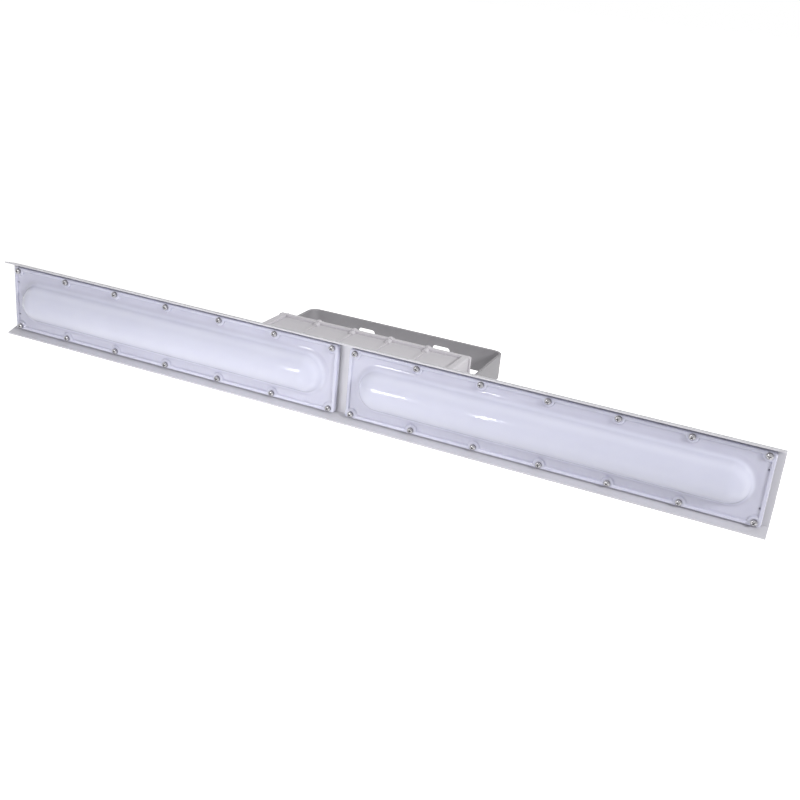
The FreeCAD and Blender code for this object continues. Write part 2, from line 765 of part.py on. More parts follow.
def make_lens_gasket(side):
    """Flat silicone frame under the lens flange, open where the lens is hollow."""
    body = new_body("lens_gasket_" + side)
    half_x = "lens_length / 2"
    half_z = "lens_height / 2"
    frame = new_sketch(body, "XZ_Plane", side + "_frame", "floor_front")
    rectangle(frame, f"-({half_x})", half_x, f"-({half_z})", half_z)
    pad(body, frame, "lens_gasket_thickness")
    window = new_sketch(body, "XZ_Plane", side + "_window", "lens_back")
    stadium(window, "0", "dome_straight", "cavity_radius")
    pocket(body, window, "lens_gasket_thickness")
    holes = new_sketch(body, "XZ_Plane", side + "_gasket_holes", "lens_back")
    for row in signs:
        circle(holes, "-(screw_span) / 2", f"{row}screw_row_spacing / 2", "lens_screw + 2 * hole_clearance")
    first = pocket(body, holes, "lens_gasket_thickness")
    row_of(body, side + "_gasket_row", [first], "X_Axis", "screw_span", "screw_count")
    body.setExpression("Placement.Base.x", bound(f"{lens_sides[side]} * (lens_center)"))
    keep("lens_gasket_" + side, body)


def make_lens_fasteners():
    """Pan-head screws and washers of both lenses, modelled once and repeated."""
    seat = "-(lens_face)"
    washer_face = f"{seat} - lens_washer_thickness"
    bore = "lens_screw + 2 * hole_clearance"
    ring = washer("lens_washer", "y", "lens_washer_diameter", bore, washer_face, seat)
    tip = "-(floor_front) + lens_screw_engagement"
    pan = screw("lens_screw_master", "lens_screw_head", "lens_screw_head_height", "lens_screw",
                washer_face, tip, -1)
    places = []
    for center in (-number("lens_center"), number("lens_center")):
        for x in spread(number("screw_count"), number("screw_span")):
            for z in (-number("screw_row_spacing") / 2, number("screw_row_spacing") / 2):
                places.append((center + x, 0, z))
    keep_group("lens_screws", pan, places)
    keep_group("lens_washers", ring, places)


def make_light_engine(side):
    """Aluminium circuit board on the rail floor with rows of LED packages."""
    center = f"{lens_sides[side]} * (lens_center)"
    front = "-(floor_front + board_thickness)"
    plate = block(f"{side}_plate", (f"{center} - board_length / 2", f"{center} + board_length / 2"),
                  (front, "-(floor_front)"), ("-board_width / 2", "board_width / 2"))
    hole = "board_screw + 2 * hole_clearance"
    drill = rod(f"{side}_drill", "y", hole, f"{front} - 1", "-(floor_front) + 1")
    doc.recompute()
    columns = spread(number("board_screw_count"), number("board_screw_span"))
    tools = [drill.Shape.translated(Vector(number(center) + x, 0, 0)) for x in columns]
    drills = doc.addObject("Part::Feature", f"{side}_drills")
    drills.Shape = Part.makeCompound(tools)
    keep("led_board_" + side, cut("led_board_" + side, plate, drills))
    chip = block(f"{side}_chip", ("-chip_size / 2", "chip_size / 2"), (f"{front} - chip_height", front),
                 ("-chip_size / 2", "chip_size / 2"))
    pitch = number("board_length / chip_columns")
    places = []
    for x in spread(number("chip_columns"), number("board_length") - pitch):
        for z in spread(number("chip_rows"), number("chip_row_spacing")):
            places.append((number(center) + x, 0, z))
    keep_group("led_chips_" + side, chip, places)


def make_board_screws():
    """Small screws that hold both boards."""
    seat = "-(floor_front + board_thickness)"
    pan = screw("board_screw_master", "board_screw_head", "board_screw_head_height", "board_screw",
                seat, "-(floor_front) + board_screw_engagement", -1)
    places = []
    for center in (-number("lens_center"), number("lens_center")):
        for x in spread(number("board_screw_count"), number("board_screw_span")):
            places.append((center + x, 0, 0))
    keep_group("board_screws", pan, places)


def rib_columns():
    """Expressions for the places along X of the ribs between the box's bays."""
    return [f"({index} - bay_count / 2) * rib_pitch" for index in range(1, int(SIZES["bay_count"]))]


def cover_places():
    """Expressions for the centres of the cover screws: two at every rib and three at each end."""
    ends = [f"{end}(cover_end)" for end in signs]
    places = [(x, f"{row}(cover_row)") for row in signs for x in rib_columns() + ends]
    return places + [(x, "0") for x in ends]


def make_driver_box():
    """Cast box open to the rear: raised ends, flange, ribs, tilt bosses, tapped holes and cable entry."""
    body = new_body("driver_box")
    half_x = "box_width / 2"
    half_z = "box_height / 2"
    end_x = f"{half_x} - end_rib_width"
    high = "flange_height / 2"
    shell = new_sketch(body, "XZ_Plane", "box_shell", "flange_back")
    rectangle(shell, f"-({half_x})", half_x, f"-({half_z})", half_z)
    pad(body, shell, "box_depth")
    ends = new_sketch(body, "XZ_Plane", "box_ends", "flange_back")
    rectangle(ends, f"-({half_x})", f"-({end_x})", f"-({high})", high)
    rectangle(ends, end_x, half_x, f"-({high})", high)
    pad(body, ends, "box_depth")
    corner_x = number(half_x) - 0.01
    corner_z = number(high) - 0.01

    def outer_corner(middle, run):
        return abs(run.y) > 0.9 and abs(middle.x) > corner_x and abs(middle.z) > corner_z

    rounded(body, "end_corners", "flange_corner", outer_corner)
    flange = new_sketch(body, "XZ_Plane", "box_flange", "flange_back")
    rectangle(flange, "-(flange_width) / 2", "flange_width / 2", f"-({high})", high)
    pad(body, flange, "flange_thickness")
    rounded(body, "flange_corners", "flange_corner", outer_corner)
    ears = new_sketch(body, "XZ_Plane", "flange_ears", "flange_back")
    screw_bosses = new_sketch(body, "XZ_Plane", "cover_screw_bosses", "flange_back")
    for x in rib_columns():
        for row in signs:
            circle(ears, x, f"{row}(ear_row)", "flange_ear")
            circle(screw_bosses, x, f"{row}(flange_height - cover_boss) / 2", "cover_boss")
    pad(body, ears, "flange_thickness")
    pad(body, screw_bosses, "flange_thickness + cover_boss_length")
    ribs = new_sketch(body, "XZ_Plane", "box_ribs", "flange_back")
    rib_start = "-(bay_count / 2 - 1) * rib_pitch - rib_width / 2"
    rib_end = "-(bay_count / 2 - 1) * rib_pitch + rib_width / 2"
    rectangle(ribs, rib_start, rib_end, f"{half_z} - rib_root", f"{half_z} + rib_lift")
    rectangle(ribs, rib_start, rib_end, f"-({half_z} + rib_lift)", f"-({half_z}) + rib_root")
    rib_pad = pad(body, ribs, "box_depth")
    row_of(body, "box_rib_row", [rib_pad], "X_Axis", "(bay_count - 2) * rib_pitch", "bay_count - 1")
    earth = new_sketch(body, "XY_Plane", "earth_boss", "box_face_low - earth_boss_height")
    circle(earth, "rib_pitch", "-(gland_depth)", "earth_boss_diameter")
    pad(body, earth, "earth_boss_height + box_wall / 2")
    hollow = new_sketch(body, "XZ_Plane", "box_hollow", "flange_back")
    rectangle(hollow, f"-({half_x} - end_wall)", f"{half_x} - end_wall",
              f"-({half_z} - box_wall)", f"{half_z} - box_wall")
    pocket(body, hollow, "box_depth - box_floor", forward=True)
    boss = new_sketch(body, "YZ_Plane", "pivot_boss", "boss_root")
    circle(boss, "-pivot_reach", "0", "pivot_boss_diameter")
    boss_pad = pad(body, boss, "boss_face - (boss_root)")
    mirrored(body, "pivot_bosses", [boss_pad], "YZ_Plane")
    tapped = new_sketch(body, "YZ_Plane", "pivot_thread", "boss_face")
    circle(tapped, "-pivot_reach", "0", "pivot_bolt + 2 * thread_clearance")
    thread = pocket(body, tapped, "pivot_engagement + tap_allowance")
    mirrored(body, "pivot_threads", [thread], "YZ_Plane")
    cover_holes = new_sketch(body, "XZ_Plane", "cover_threads", "flange_back")
    for x, z in cover_places():
        circle(cover_holes, x, z, "cover_screw + 2 * thread_clearance")
    pocket(body, cover_holes, "cover_screw_engagement + tap_allowance", forward=True)
    floor_holes = new_sketch(body, "XZ_Plane", "floor_holes", "seat_depth")
    for x in box_screw_columns():
        for row in signs:
            circle(floor_holes, x, f"{row}(seat_rib_spacing) / 2", "box_screw + 2 * hole_clearance")
    for sign in signs:
        circle(floor_holes, f"{sign}(bushing_place)", "0", "bushing_diameter + 2 * thread_clearance")
    pocket(body, floor_holes, "box_floor")
    inner_holes = new_sketch(body, "XZ_Plane", "inner_threads", "inner_wall")
    for x, z in driver_screw_places() + terminal_screw_places():
        circle(inner_holes, x, z, "driver_screw + 2 * thread_clearance")
    pocket(body, inner_holes, "inner_screw_engagement + tap_allowance / 2", forward=True)
    entry = new_sketch(body, "XY_Plane", "cable_entry", "box_face_low")
    circle(entry, "-rib_pitch", "-(gland_depth)", "gland_thread + 2 * thread_clearance")
    pocket(body, entry, "box_wall", forward=True)
    earth_hole = new_sketch(body, "XY_Plane", "earth_thread", "box_face_low - earth_boss_height")
    circle(earth_hole, "rib_pitch", "-(gland_depth)", "earth_screw + 2 * thread_clearance")
    pocket(body, earth_hole, "earth_engagement + tap_allowance", forward=True)
    keep("driver_box", body)


def make_cover():
    """Cast rear cover: plate, spigot that enters the box, raised panel, screw holes."""
    body = new_body("box_cover")
    plate = new_sketch(body, "XZ_Plane", "cover_plate", "cover_back")
    rectangle(plate, "-(cover_width) / 2", "cover_width / 2", "-(cover_height) / 2", "cover_height / 2")
    pad(body, plate, "cover_thickness")
    rounded(body, "cover_corners", "cover_corner", along_depth)
    spigot = new_sketch(body, "XZ_Plane", "cover_spigot", "cover_front - cover_thickness / 2")
    reach_x = "box_width / 2 - end_wall - spigot_clearance"
    reach_z = "box_height / 2 - box_wall - spigot_clearance"
    rectangle(spigot, f"-({reach_x})", reach_x, f"-({reach_z})", reach_z)
    pad(body, spigot, "cover_thickness / 2 + cover_gasket_thickness + cover_spigot")
    inside = new_sketch(body, "XZ_Plane", "spigot_inside", "flange_back + cover_spigot")
    clear_x = f"{reach_x} - spigot_width"
    clear_z = f"{reach_z} - spigot_width"
    rectangle(inside, f"-({clear_x})", clear_x, f"-({clear_z})", clear_z)
    pocket(body, inside, "cover_gasket_thickness + cover_spigot")
    panel = new_sketch(body, "XZ_Plane", "cover_panel", "cover_back + cover_thickness / 2")
    panel_x = "flange_width / 2 - cover_panel_inset"
    panel_z = "flange_height / 2 - cover_panel_inset"
    rectangle(panel, f"-({panel_x})", panel_x, f"-({panel_z})", panel_z)
    pad(body, panel, "cover_thickness / 2 + cover_panel_height", backward=True)
    panel_face = number("-(cover_back) + cover_panel_height")

    def panel_edge(middle, run):
        return abs(run.y) < 0.1 and abs(middle.y - panel_face) < 0.01

    rounded(body, "panel_edges", "cover_panel_height / 2", panel_edge)
    holes = new_sketch(body, "XZ_Plane", "cover_holes", "cover_front")
    for x, z in cover_places():
        circle(holes, x, z, "cover_screw + 2 * hole_clearance")
    pocket(body, holes, "cover_thickness")
    keep("box_cover", body)


def make_cover_gasket():
    """Flat frame between the box flange and the cover."""
    body = new_body("cover_gasket")
    frame = new_sketch(body, "XZ_Plane", "gasket_frame", "cover_front")
    rectangle(frame, "-(cover_width) / 2", "cover_width / 2", "-(cover_height) / 2", "cover_height / 2")
    pad(body, frame, "cover_gasket_thickness")
    rounded(body, "gasket_corners", "cover_corner", along_depth)
    window = new_sketch(body, "XZ_Plane", "gasket_window", "flange_back")
    half_x = "box_width / 2 - end_wall"
    half_z = "box_height / 2 - box_wall"
    rectangle(window, f"-({half_x})", half_x, f"-({half_z})", half_z)
    pocket(body, window, "cover_gasket_thickness")
    holes = new_sketch(body, "XZ_Plane", "gasket_holes", "flange_back")
    for x, z in cover_places():
        circle(holes, x, z, "cover_screw + 2 * hole_clearance")
    pocket(body, holes, "cover_gasket_thickness")
    keep("cover_gasket", body)


def make_cover_screws():
    """Cap screws round the cover."""
    cap = screw("cover_screw_master", "cover_screw_head", "cover_screw_head_height", "cover_screw",
                "-(cover_back)", "-(flange_back + cover_screw_engagement)", 1)
    keep_group("cover_screws", cap, [(number(x), 0, number(z)) for x, z in cover_places()])


def driver_screw_places():
    """Expressions for the four screws in the driver's ears."""
    ends = ("driver_low - driver_ear / 2", "driver_high + driver_ear / 2")
    return [(x, f"{row}(driver_screw_spacing) / 2") for x in ends for row in signs]


def make_led_driver():
    """Potted driver: case lifted off the wall on an ear at each end."""
    body = new_body("led_driver")
    case = new_sketch(body, "XZ_Plane", "driver_case", "inner_wall - driver_lift")
    rectangle(case, "driver_low", "driver_high", "-(driver_width) / 2", "driver_width / 2")
    pad(body, case, "driver_height", backward=True)
    ears = new_sketch(body, "XZ_Plane", "driver_ears", "inner_wall")
    rectangle(ears, "driver_low - driver_ear", "driver_low + driver_ear_overlap",
              "-(driver_width) / 2", "driver_width / 2")
    rectangle(ears, "driver_high - driver_ear_overlap", "driver_high + driver_ear",
              "-(driver_width) / 2", "driver_width / 2")
    pad(body, ears, "driver_lift", backward=True)
    holes = new_sketch(body, "XZ_Plane", "driver_holes", "inner_wall")
    for x, z in driver_screw_places():
        circle(holes, x, z, "driver_screw + 2 * hole_clearance")
    pocket(body, holes, "driver_lift")
    keep("led_driver", body)


def make_driver_screws():
    """Screws in the driver's ears."""
    pan = screw("driver_screw_master", "driver_screw_head", "driver_screw_head_height", "driver_screw",
                "-(inner_wall - driver_lift)", "-(inner_wall + inner_screw_engagement)", 1)
    keep_group("driver_screws", pan, [(number(x), 0, number(z)) for x, z in driver_screw_places()])


def terminal_screw_places():
    """Expressions for the two screws that hold the terminal block."""
    return [(f"terminal_center {side} (terminal_screw_spacing) / 2", "0") for side in ("-", "+")]


def make_terminal_block():
    """Ceramic block with a clamp way for each supply conductor and a screw hole at each end."""
    body = new_body("terminal_block")
    base = new_sketch(body, "XZ_Plane", "terminal_base", "inner_wall")
    rectangle(base, "terminal_center - terminal_length / 2", "terminal_center + terminal_length / 2",
              "-terminal_width / 2", "terminal_width / 2")
    pad(body, base, "terminal_height", backward=True)
    ways = new_sketch(body, "XY_Plane", "terminal_ways", "-terminal_width / 2")
    for index in range(int(SIZES["terminal_ways"])):
        circle(ways, f"terminal_center + ({index} - (terminal_ways - 1) / 2) * terminal_way_pitch",
               "-(inner_wall - terminal_height / 2)", "terminal_way_bore")
    pocket(body, ways, "terminal_width", forward=True)
    holes = new_sketch(body, "XZ_Plane", "terminal_holes", "inner_wall")
    for x, z in terminal_screw_places():
        circle(holes, x, z, "driver_screw + 2 * hole_clearance")
    pocket(body, holes, "terminal_height")
    keep("terminal_block", body)


def make_terminal_screws():
    """Screws that hold the terminal block on the box's front wall."""
    pan = screw("terminal_screw_master", "driver_screw_head", "driver_screw_head_height", "driver_screw",
                "-(inner_wall - terminal_height)", "-(inner_wall + inner_screw_engagement)", 1)
    keep_group("terminal_screws", pan, [(number(x), 0, number(z)) for x, z in terminal_screw_places()])


def make_wire_bushings():
    """Flanged tubes that carry the board leads from the box through the rail floor."""
    inside = "-(inner_wall - bushing_flange_thickness)"
    tube = rod("bushing_tube", "y", "bushing_diameter", "-(floor_front)", inside)
    collar = rod("bushing_collar", "y", "bushing_flange", "-(inner_wall)", inside)
    bore = rod("bushing_hole", "y", "bushing_bore", "-(floor_front) - 1", f"{inside} + 1")
    master = cut("bushing_master", fused("bushing_outside", [tube, collar]), bore)
    place = number("bushing_place")
    keep_group("wire_bushings", master, [(-place, 0, 0), (place, 0, 0)])


def make_box_screws():
    """Cap screws from inside the box into the rail's seat ribs."""
    cap = screw("box_screw_master", "box_screw_head", "box_screw_head_height", "box_screw",
                "-(inner_wall)", "-(seat_depth + box_screw_engagement)", 1)
    row = number("seat_rib_spacing") / 2
    keep_group("box_screws", cap, [(number(x), 0, z) for x in box_screw_columns() for z in (-row, row)])


def make_cable_gland():
    """Brass gland on the lower face: threaded body, seal and cap nut, open for the supply cable."""
    center = ("-rib_pitch", "-(gland_depth)")
    face = "box_face_low"
    hex_low = f"{face} - gland_hex_height"
    barrel_low = f"{hex_low} - gland_barrel_length"
    thread_top = f"{face} + gland_thread_length"
    thread = rod("gland_thread_bar", "z", "gland_thread", face, thread_top, center)
    hexed = hexagon("gland_hex", "z", "gland_hex_flats", hex_low, face, center)
    barrel = rod("gland_barrel_bar", "z", "gland_barrel", barrel_low, hex_low, center)
    bore = rod("gland_hole", "z", "gland_bore", f"{barrel_low} - 1", f"{thread_top} + 1", center)
    outside = fused("gland_outside", [thread, hexed, barrel])
    keep("cable_gland_body", cut("cable_gland_body", outside, bore))
    nut_top = f"{hex_low} - gland_nut_start"
    nut_low = f"{nut_top} - gland_nut_length"
    shell = hexagon("nut_hex", "z", "gland_nut_flats", nut_low, nut_top, center)
    socket = rod("nut_socket", "z", "gland_barrel + 2 * gland_clearance", f"{nut_low} + gland_nut_lip",
                 f"{nut_top} + 1", center)
    mouth = rod("nut_mouth", "z", "gland_mouth", f"{nut_low} - 1", nut_top, center)
    keep("cable_gland_nut", cut("cable_gland_nut", shell, fused("nut_inside", [socket, mouth])))
    keep("cable_gland_seal", washer("cable_gland_seal", "z", "gland_barrel", "gland_mouth",
                                    f"{nut_low} + gland_nut_lip", barrel_low, center))


def make_earth_screw():
    """Hexagon screw and washer on the earth boss of the lower face."""
    center = ("rib_pitch", "-(gland_depth)")
    seat = "box_face_low - earth_boss_height"
    under = f"{seat} - earth_washer_thickness"
    bore = "earth_screw + 2 * hole_clearance"
    keep("earth_washer", washer("earth_washer", "z", "earth_washer_diameter", bore, under, seat, center))
    head = hexagon("earth_head", "z", "earth_head_flats", f"{under} - earth_head_height", under, center)
    shank = rod("earth_shank", "z", "earth_screw", under, f"{seat} + earth_engagement", center)
    keep("earth_screw", fused("earth_bolt", [head, shank]))


def make_pivots():
    """Tilt bolts with their washers: friction washer inside the arm, flat and spring washers outside."""
    center = ("-pivot_reach", "0")
    bore = "pivot_bolt + 2 * washer_bore_clearance"
    flat_start = "bracket_width / 2 + pivot_gap"
    flat_end = f"{flat_start} + flat_washer_thickness"
    spring_end = f"{flat_end} + spring_washer_thickness"
    head_end = f"{spring_end} + pivot_head_height"
    head = hexagon("pivot_head", "x", "pivot_head_flats", spring_end, head_end, center)
    shank = rod("pivot_shank", "x", "pivot_bolt", "boss_face - pivot_engagement", spring_end, center)
    pieces = {
        "pivot_bolts": fused("pivot_bolt_right", [head, shank]),
        "pivot_friction_washers": washer(
            "friction_right", "x", "friction_washer_diameter", bore,
            "boss_face", "boss_face + friction_washer_thickness", center),
        "pivot_flat_washers": washer(
            "flat_right", "x", "flat_washer_diameter", bore, flat_start, flat_end, center),
        "pivot_spring_washers": washer(
            "spring_right", "x", "spring_washer_diameter", bore, flat_end, spring_end, center),
    }
    doc.recompute()
    for label, right in pieces.items():
        left = right.Shape.mirror(Vector(), Vector(1, 0, 0))
        group = doc.addObject("Part::Feature", label)
        group.Shape = Part.makeCompound([right.Shape.copy(), left])
        keep(label, group)


make_bracket()
make_rail()
for lens_side in lens_sides:
    make_lens(lens_side)
    make_lens_gasket(lens_side)
    make_light_engine(lens_side)
make_lens_fasteners()
make_board_screws()
make_driver_box()
make_cover()
make_cover_gasket()
make_cover_screws()
make_led_driver()
make_driver_screws()
make_terminal_block()
make_terminal_screws()
make_wire_bushings()
make_box_screws()
make_cable_gland()
make_earth_screw()
make_pivots()
doc.recompute()

for item in doc.Objects:
    if "Invalid" in item.State or "Error" in item.State:
        raise RuntimeError(f"{item.Name} failed: {item.State}")
for part in finished:
    if part.Shape.isNull() or not part.Shape.isValid():
        raise RuntimeError(f"{part.Label} has no valid shape")

os.makedirs("parts", exist_ok=True)
for part in finished:
    part.Shape.exportStep(os.path.join("parts", part.Label + ".step"))
    print(f"{part.Label}: {len(part.Shape.Solids)} solids, {part.Shape.Volume / 1000:.1f} cm3")
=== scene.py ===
import bpy
import bmesh
import math
import numpy as np
from mathutils import Matrix, Vector


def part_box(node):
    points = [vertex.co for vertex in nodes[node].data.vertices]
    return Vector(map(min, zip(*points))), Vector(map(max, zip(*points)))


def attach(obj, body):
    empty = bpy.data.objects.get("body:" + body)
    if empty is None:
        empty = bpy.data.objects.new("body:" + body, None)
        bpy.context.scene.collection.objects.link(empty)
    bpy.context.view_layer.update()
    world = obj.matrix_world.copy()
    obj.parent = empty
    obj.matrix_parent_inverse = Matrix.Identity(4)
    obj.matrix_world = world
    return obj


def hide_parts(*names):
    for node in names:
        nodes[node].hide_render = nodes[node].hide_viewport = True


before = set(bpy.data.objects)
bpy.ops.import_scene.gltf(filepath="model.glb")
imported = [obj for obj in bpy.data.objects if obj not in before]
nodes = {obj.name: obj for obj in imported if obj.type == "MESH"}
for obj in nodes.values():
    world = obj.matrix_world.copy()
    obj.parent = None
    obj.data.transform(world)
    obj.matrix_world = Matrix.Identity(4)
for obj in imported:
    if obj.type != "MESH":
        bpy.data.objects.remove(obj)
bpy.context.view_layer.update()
mm = 0.001  # settings below are in millimetres, the scene is in metres
print("frame loaded:", len(nodes), "nodes")


def linearColor(hexText):
    # sRGB to linear: c/12.92 up to 0.04045, else ((c + 0.055)/1.055) to the power 2.4
    c = np.array([int(hexText[i:i + 2], 16) for i in (1, 3, 5)]) / 255.0
    rgb = np.where(c <= 0.04045, c / 12.92, ((c + 0.055) / 1.055) ** 2.4)
    return (float(rgb[0]), float(rgb[1]), float(rgb[2]), 1.0)


def addNode(tree, kind, inputs=None, **settings):
    # settings are the node's properties, inputs are numbers or the sockets to link
    node = tree.nodes.new(kind)
    for key, value in settings.items():
        setattr(node, key, value)
    for key, value in (inputs or {}).items():
        if isinstance(value, bpy.types.NodeSocket):
            tree.links.new(value, node.inputs[key])
        else:
            node.inputs[key].default_value = value
    return node


def newMaterial(name):
    mat = bpy.data.materials.new(name)
    mat.use_nodes = True
    tree = mat.node_tree
    coords = addNode(tree, "ShaderNodeTexCoord").outputs["Object"]
    return mat, tree, tree.nodes["Principled BSDF"], coords


def smoothStep(low, high, value):
    # 0 at low, 1 at high, 3t^2 - 2t^3 between
    t = np.clip((value - low) / (high - low), 0, 1)
    return t * t * (3 - 2 * t)


def meshPiece(name, verts, faces, sharp=35):
    # doubles are merged so that seams and poles close, then all faces are turned outwards;
    # edges that bend more than the sharp angle, in degrees, stay crisp
    mergeGap = 2e-6
    mesh = bpy.data.meshes.new(name)
    mesh.from_pydata(verts.tolist(), [], faces.tolist())
    shape = bmesh.new()
    shape.from_mesh(mesh)
    bmesh.ops.remove_doubles(shape, verts=shape.verts, dist=mergeGap)
    bmesh.ops.recalc_face_normals(shape, faces=shape.faces)
    shape.to_mesh(mesh)
    shape.free()
    mesh.shade_smooth()
    mesh.set_sharp_from_angle(angle=math.radians(sharp))
    piece = bpy.data.objects.new(name, mesh)
    bpy.context.scene.collection.objects.link(piece)
    return piece


def gridQuads(index, closedRows=False, closedColumns=False):
    # the last two axes of index are a grid; a closed side joins its last line to its first
    if closedRows:
        index = np.concatenate([index, index[..., :1, :]], axis=-2)
    if closedColumns:
        index = np.concatenate([index, index[..., :1]], axis=-1)
    corners = [index[..., :-1, :-1], index[..., 1:, :-1], index[..., 1:, 1:], index[..., :-1, 1:]]
    return np.stack(corners, -1).reshape(-1, 4)


# directions of (across, across, outward) for a fastener whose head points along the key
headAxes = {
    "+x": np.array([[0, 1, 0], [0, 0, 1], [1, 0, 0]], float),
    "-x": np.array([[0, -1, 0], [0, 0, 1], [-1, 0, 0]], float),
    "+y": np.array([[0, 0, 1], [1, 0, 0], [0, 1, 0]], float),
    "-y": np.array([[1, 0, 0], [0, 0, 1], [0, -1, 0]], float),
    "-z": np.array([[0, 1, 0], [1, 0, 0], [0, 0, -1]], float),
}


def turnAngles(count):
    # evenly spaced angles of one full turn
    return np.linspace(0, 2 * math.pi, count, endpoint=False)


def ringStack(rings, axis, places, closedProfile=False):
    # rings are (radius by angle, level) pairs; point = place + level outward + radius about the axis
    places = np.asarray(places, float)
    radius = np.stack(np.broadcast_arrays(*[ring for ring, level in rings]), -1)
    level = np.stack(np.broadcast_arrays(*[level + 0 * ring for ring, level in rings]), -1)
    angle = turnAngles(radius.shape[-2])[:, None]
    local = np.stack([radius * np.cos(angle), radius * np.sin(angle), level], -1) * mm
    local = np.broadcast_to(local, (len(places),) + local.shape[-3:])
    verts = local @ headAxes[axis] + places[:, None, None, :]
    index = np.arange(verts[..., 0].size).reshape(verts.shape[:3])
    return verts.reshape(-1, 3), gridQuads(index, closedRows=True, closedColumns=closedProfile)


def hexRadius(angle, flats):
    # distance from the axis to a hexagon's side: half the flats over the cosine from the side's middle
    return flats / 2 / np.cos((angle + math.pi / 6) % (math.pi / 3) - math.pi / 6)


def joined(*stacks):
    # several vertex and face arrays as one
    starts = np.cumsum([0] + [len(verts) for verts, faces in stacks[:-1]])
    verts = np.concatenate([verts for verts, faces in stacks])
    return verts, np.concatenate([faces + start for (_, faces), start in zip(stacks, starts)])


def dress(material, *names):
    # a better finish on solids whose shape is already right
    for name in names:
        mesh = nodes[name].data
        mesh.materials.clear()
        mesh.materials.append(material)


def finishPiece(piece, body, slotName, material, *replaced):
    piece.data.materials.append(material)
    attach(piece, body)
    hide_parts(*replaced)
    print("piece", piece.name, len(piece.data.polygons), "faces")


# Opal polycarbonate, injection moulded: milky and a little violet, light wanders a few mm inside it,
# and the glossy skin keeps the faint waves of the mould. The dome is thick and pale, the flange greyer; the
# dome's steep foot and the rim are painted lighter, as painted light, and the pin marks darker, as painted
# shade.
opal = {
    "dome": "#CECFDF", "edge": "#DBDCEA", "flange": "#C5C5D5", "pinMarkShade": "#6E6E7C", "footLightStop": 0.55,
    "cloud": 70.0, "cloudLean": 0.15, "wave": 45.0, "waveStrength": 0.1, "waveHeight": 0.4,
    "roughLow": 0.04, "roughHigh": 0.09, "ior": 1.58, "scatter": 0.85, "depth": 3.5,
}
opalMat, tree, shader, coords = newMaterial("opal polycarbonate, moulded")
milkAndPaintedLight = addNode(tree, "ShaderNodeAttribute", attribute_name="milkAndPaintedLight").outputs["Fac"]
cloud = addNode(tree, "ShaderNodeTexNoise", {
    "Vector": coords, "Scale": 1 / (opal["cloud"] * mm), "Detail": 2.0}).outputs["Fac"]
lean = addNode(tree, "ShaderNodeMapRange", {
    "Value": cloud, "To Min": -opal["cloudLean"], "To Max": opal["cloudLean"]}).outputs["Result"]
milkAndPaintedLight = addNode(tree, "ShaderNodeMath", {0: milkAndPaintedLight, 1: lean}, operation="ADD", use_clamp=True).outputs[0]
# three stops: flange, the foot's tone and the dome; the foot's tone is the lightest, painted light on the
# steep foot
ramp = addNode(tree, "ShaderNodeValToRGB", {"Fac": milkAndPaintedLight})
ramp.color_ramp.elements.new(opal["footLightStop"])
for stop, toneName in zip(ramp.color_ramp.elements, ("flange", "edge", "dome")):
    stop.color = linearColor(opal[toneName])
# painted shade: the two pin marks are darkened towards a dark grey
pinMarkShade = addNode(tree, "ShaderNodeAttribute", attribute_name="pinMarkShade").outputs["Fac"]
tint = addNode(tree, "ShaderNodeMix", {
    "Factor": pinMarkShade, "A": ramp.outputs["Color"], "B": linearColor(opal["pinMarkShade"])}, data_type="RGBA")
tree.links.new(tint.outputs["Result"], shader.inputs["Base Color"])
wave = addNode(tree, "ShaderNodeTexNoise", {
    "Vector": coords, "Scale": 1 / (opal["wave"] * mm), "Detail": 2.0}).outputs["Fac"]
ripple = addNode(tree, "ShaderNodeBump", {
    "Height": wave, "Strength": opal["waveStrength"], "Distance": opal["waveHeight"] * mm})
tree.links.new(ripple.outputs["Normal"], shader.inputs["Normal"])
gloss = addNode(tree, "ShaderNodeMapRange", {
    "Value": cloud, "To Min": opal["roughLow"], "To Max": opal["roughHigh"]})
tree.links.new(gloss.outputs["Result"], shader.inputs["Roughness"])
shader.inputs["IOR"].default_value = opal["ior"]
shader.inputs["Subsurface Weight"].default_value = opal["scatter"]
shader.inputs["Subsurface Radius"].default_value = (1.0, 1.0, 1.0)
shader.inputs["Subsurface Scale"].default_value = opal["depth"] * mm


# How every coat is marked: the mask of an edge starts where the softened normal leaves the flat one,
# and painted shade lies where a corner shuts out the surroundings within the nook's size.
coatMarks = {"samples": 6, "edgeStart": 0.995, "edgeFull": 0.8, "nook": 5.0, "cornerShadeFull": 0.35, "cornerShadeNone": 0.85,
        "peelHeight": 0.15}


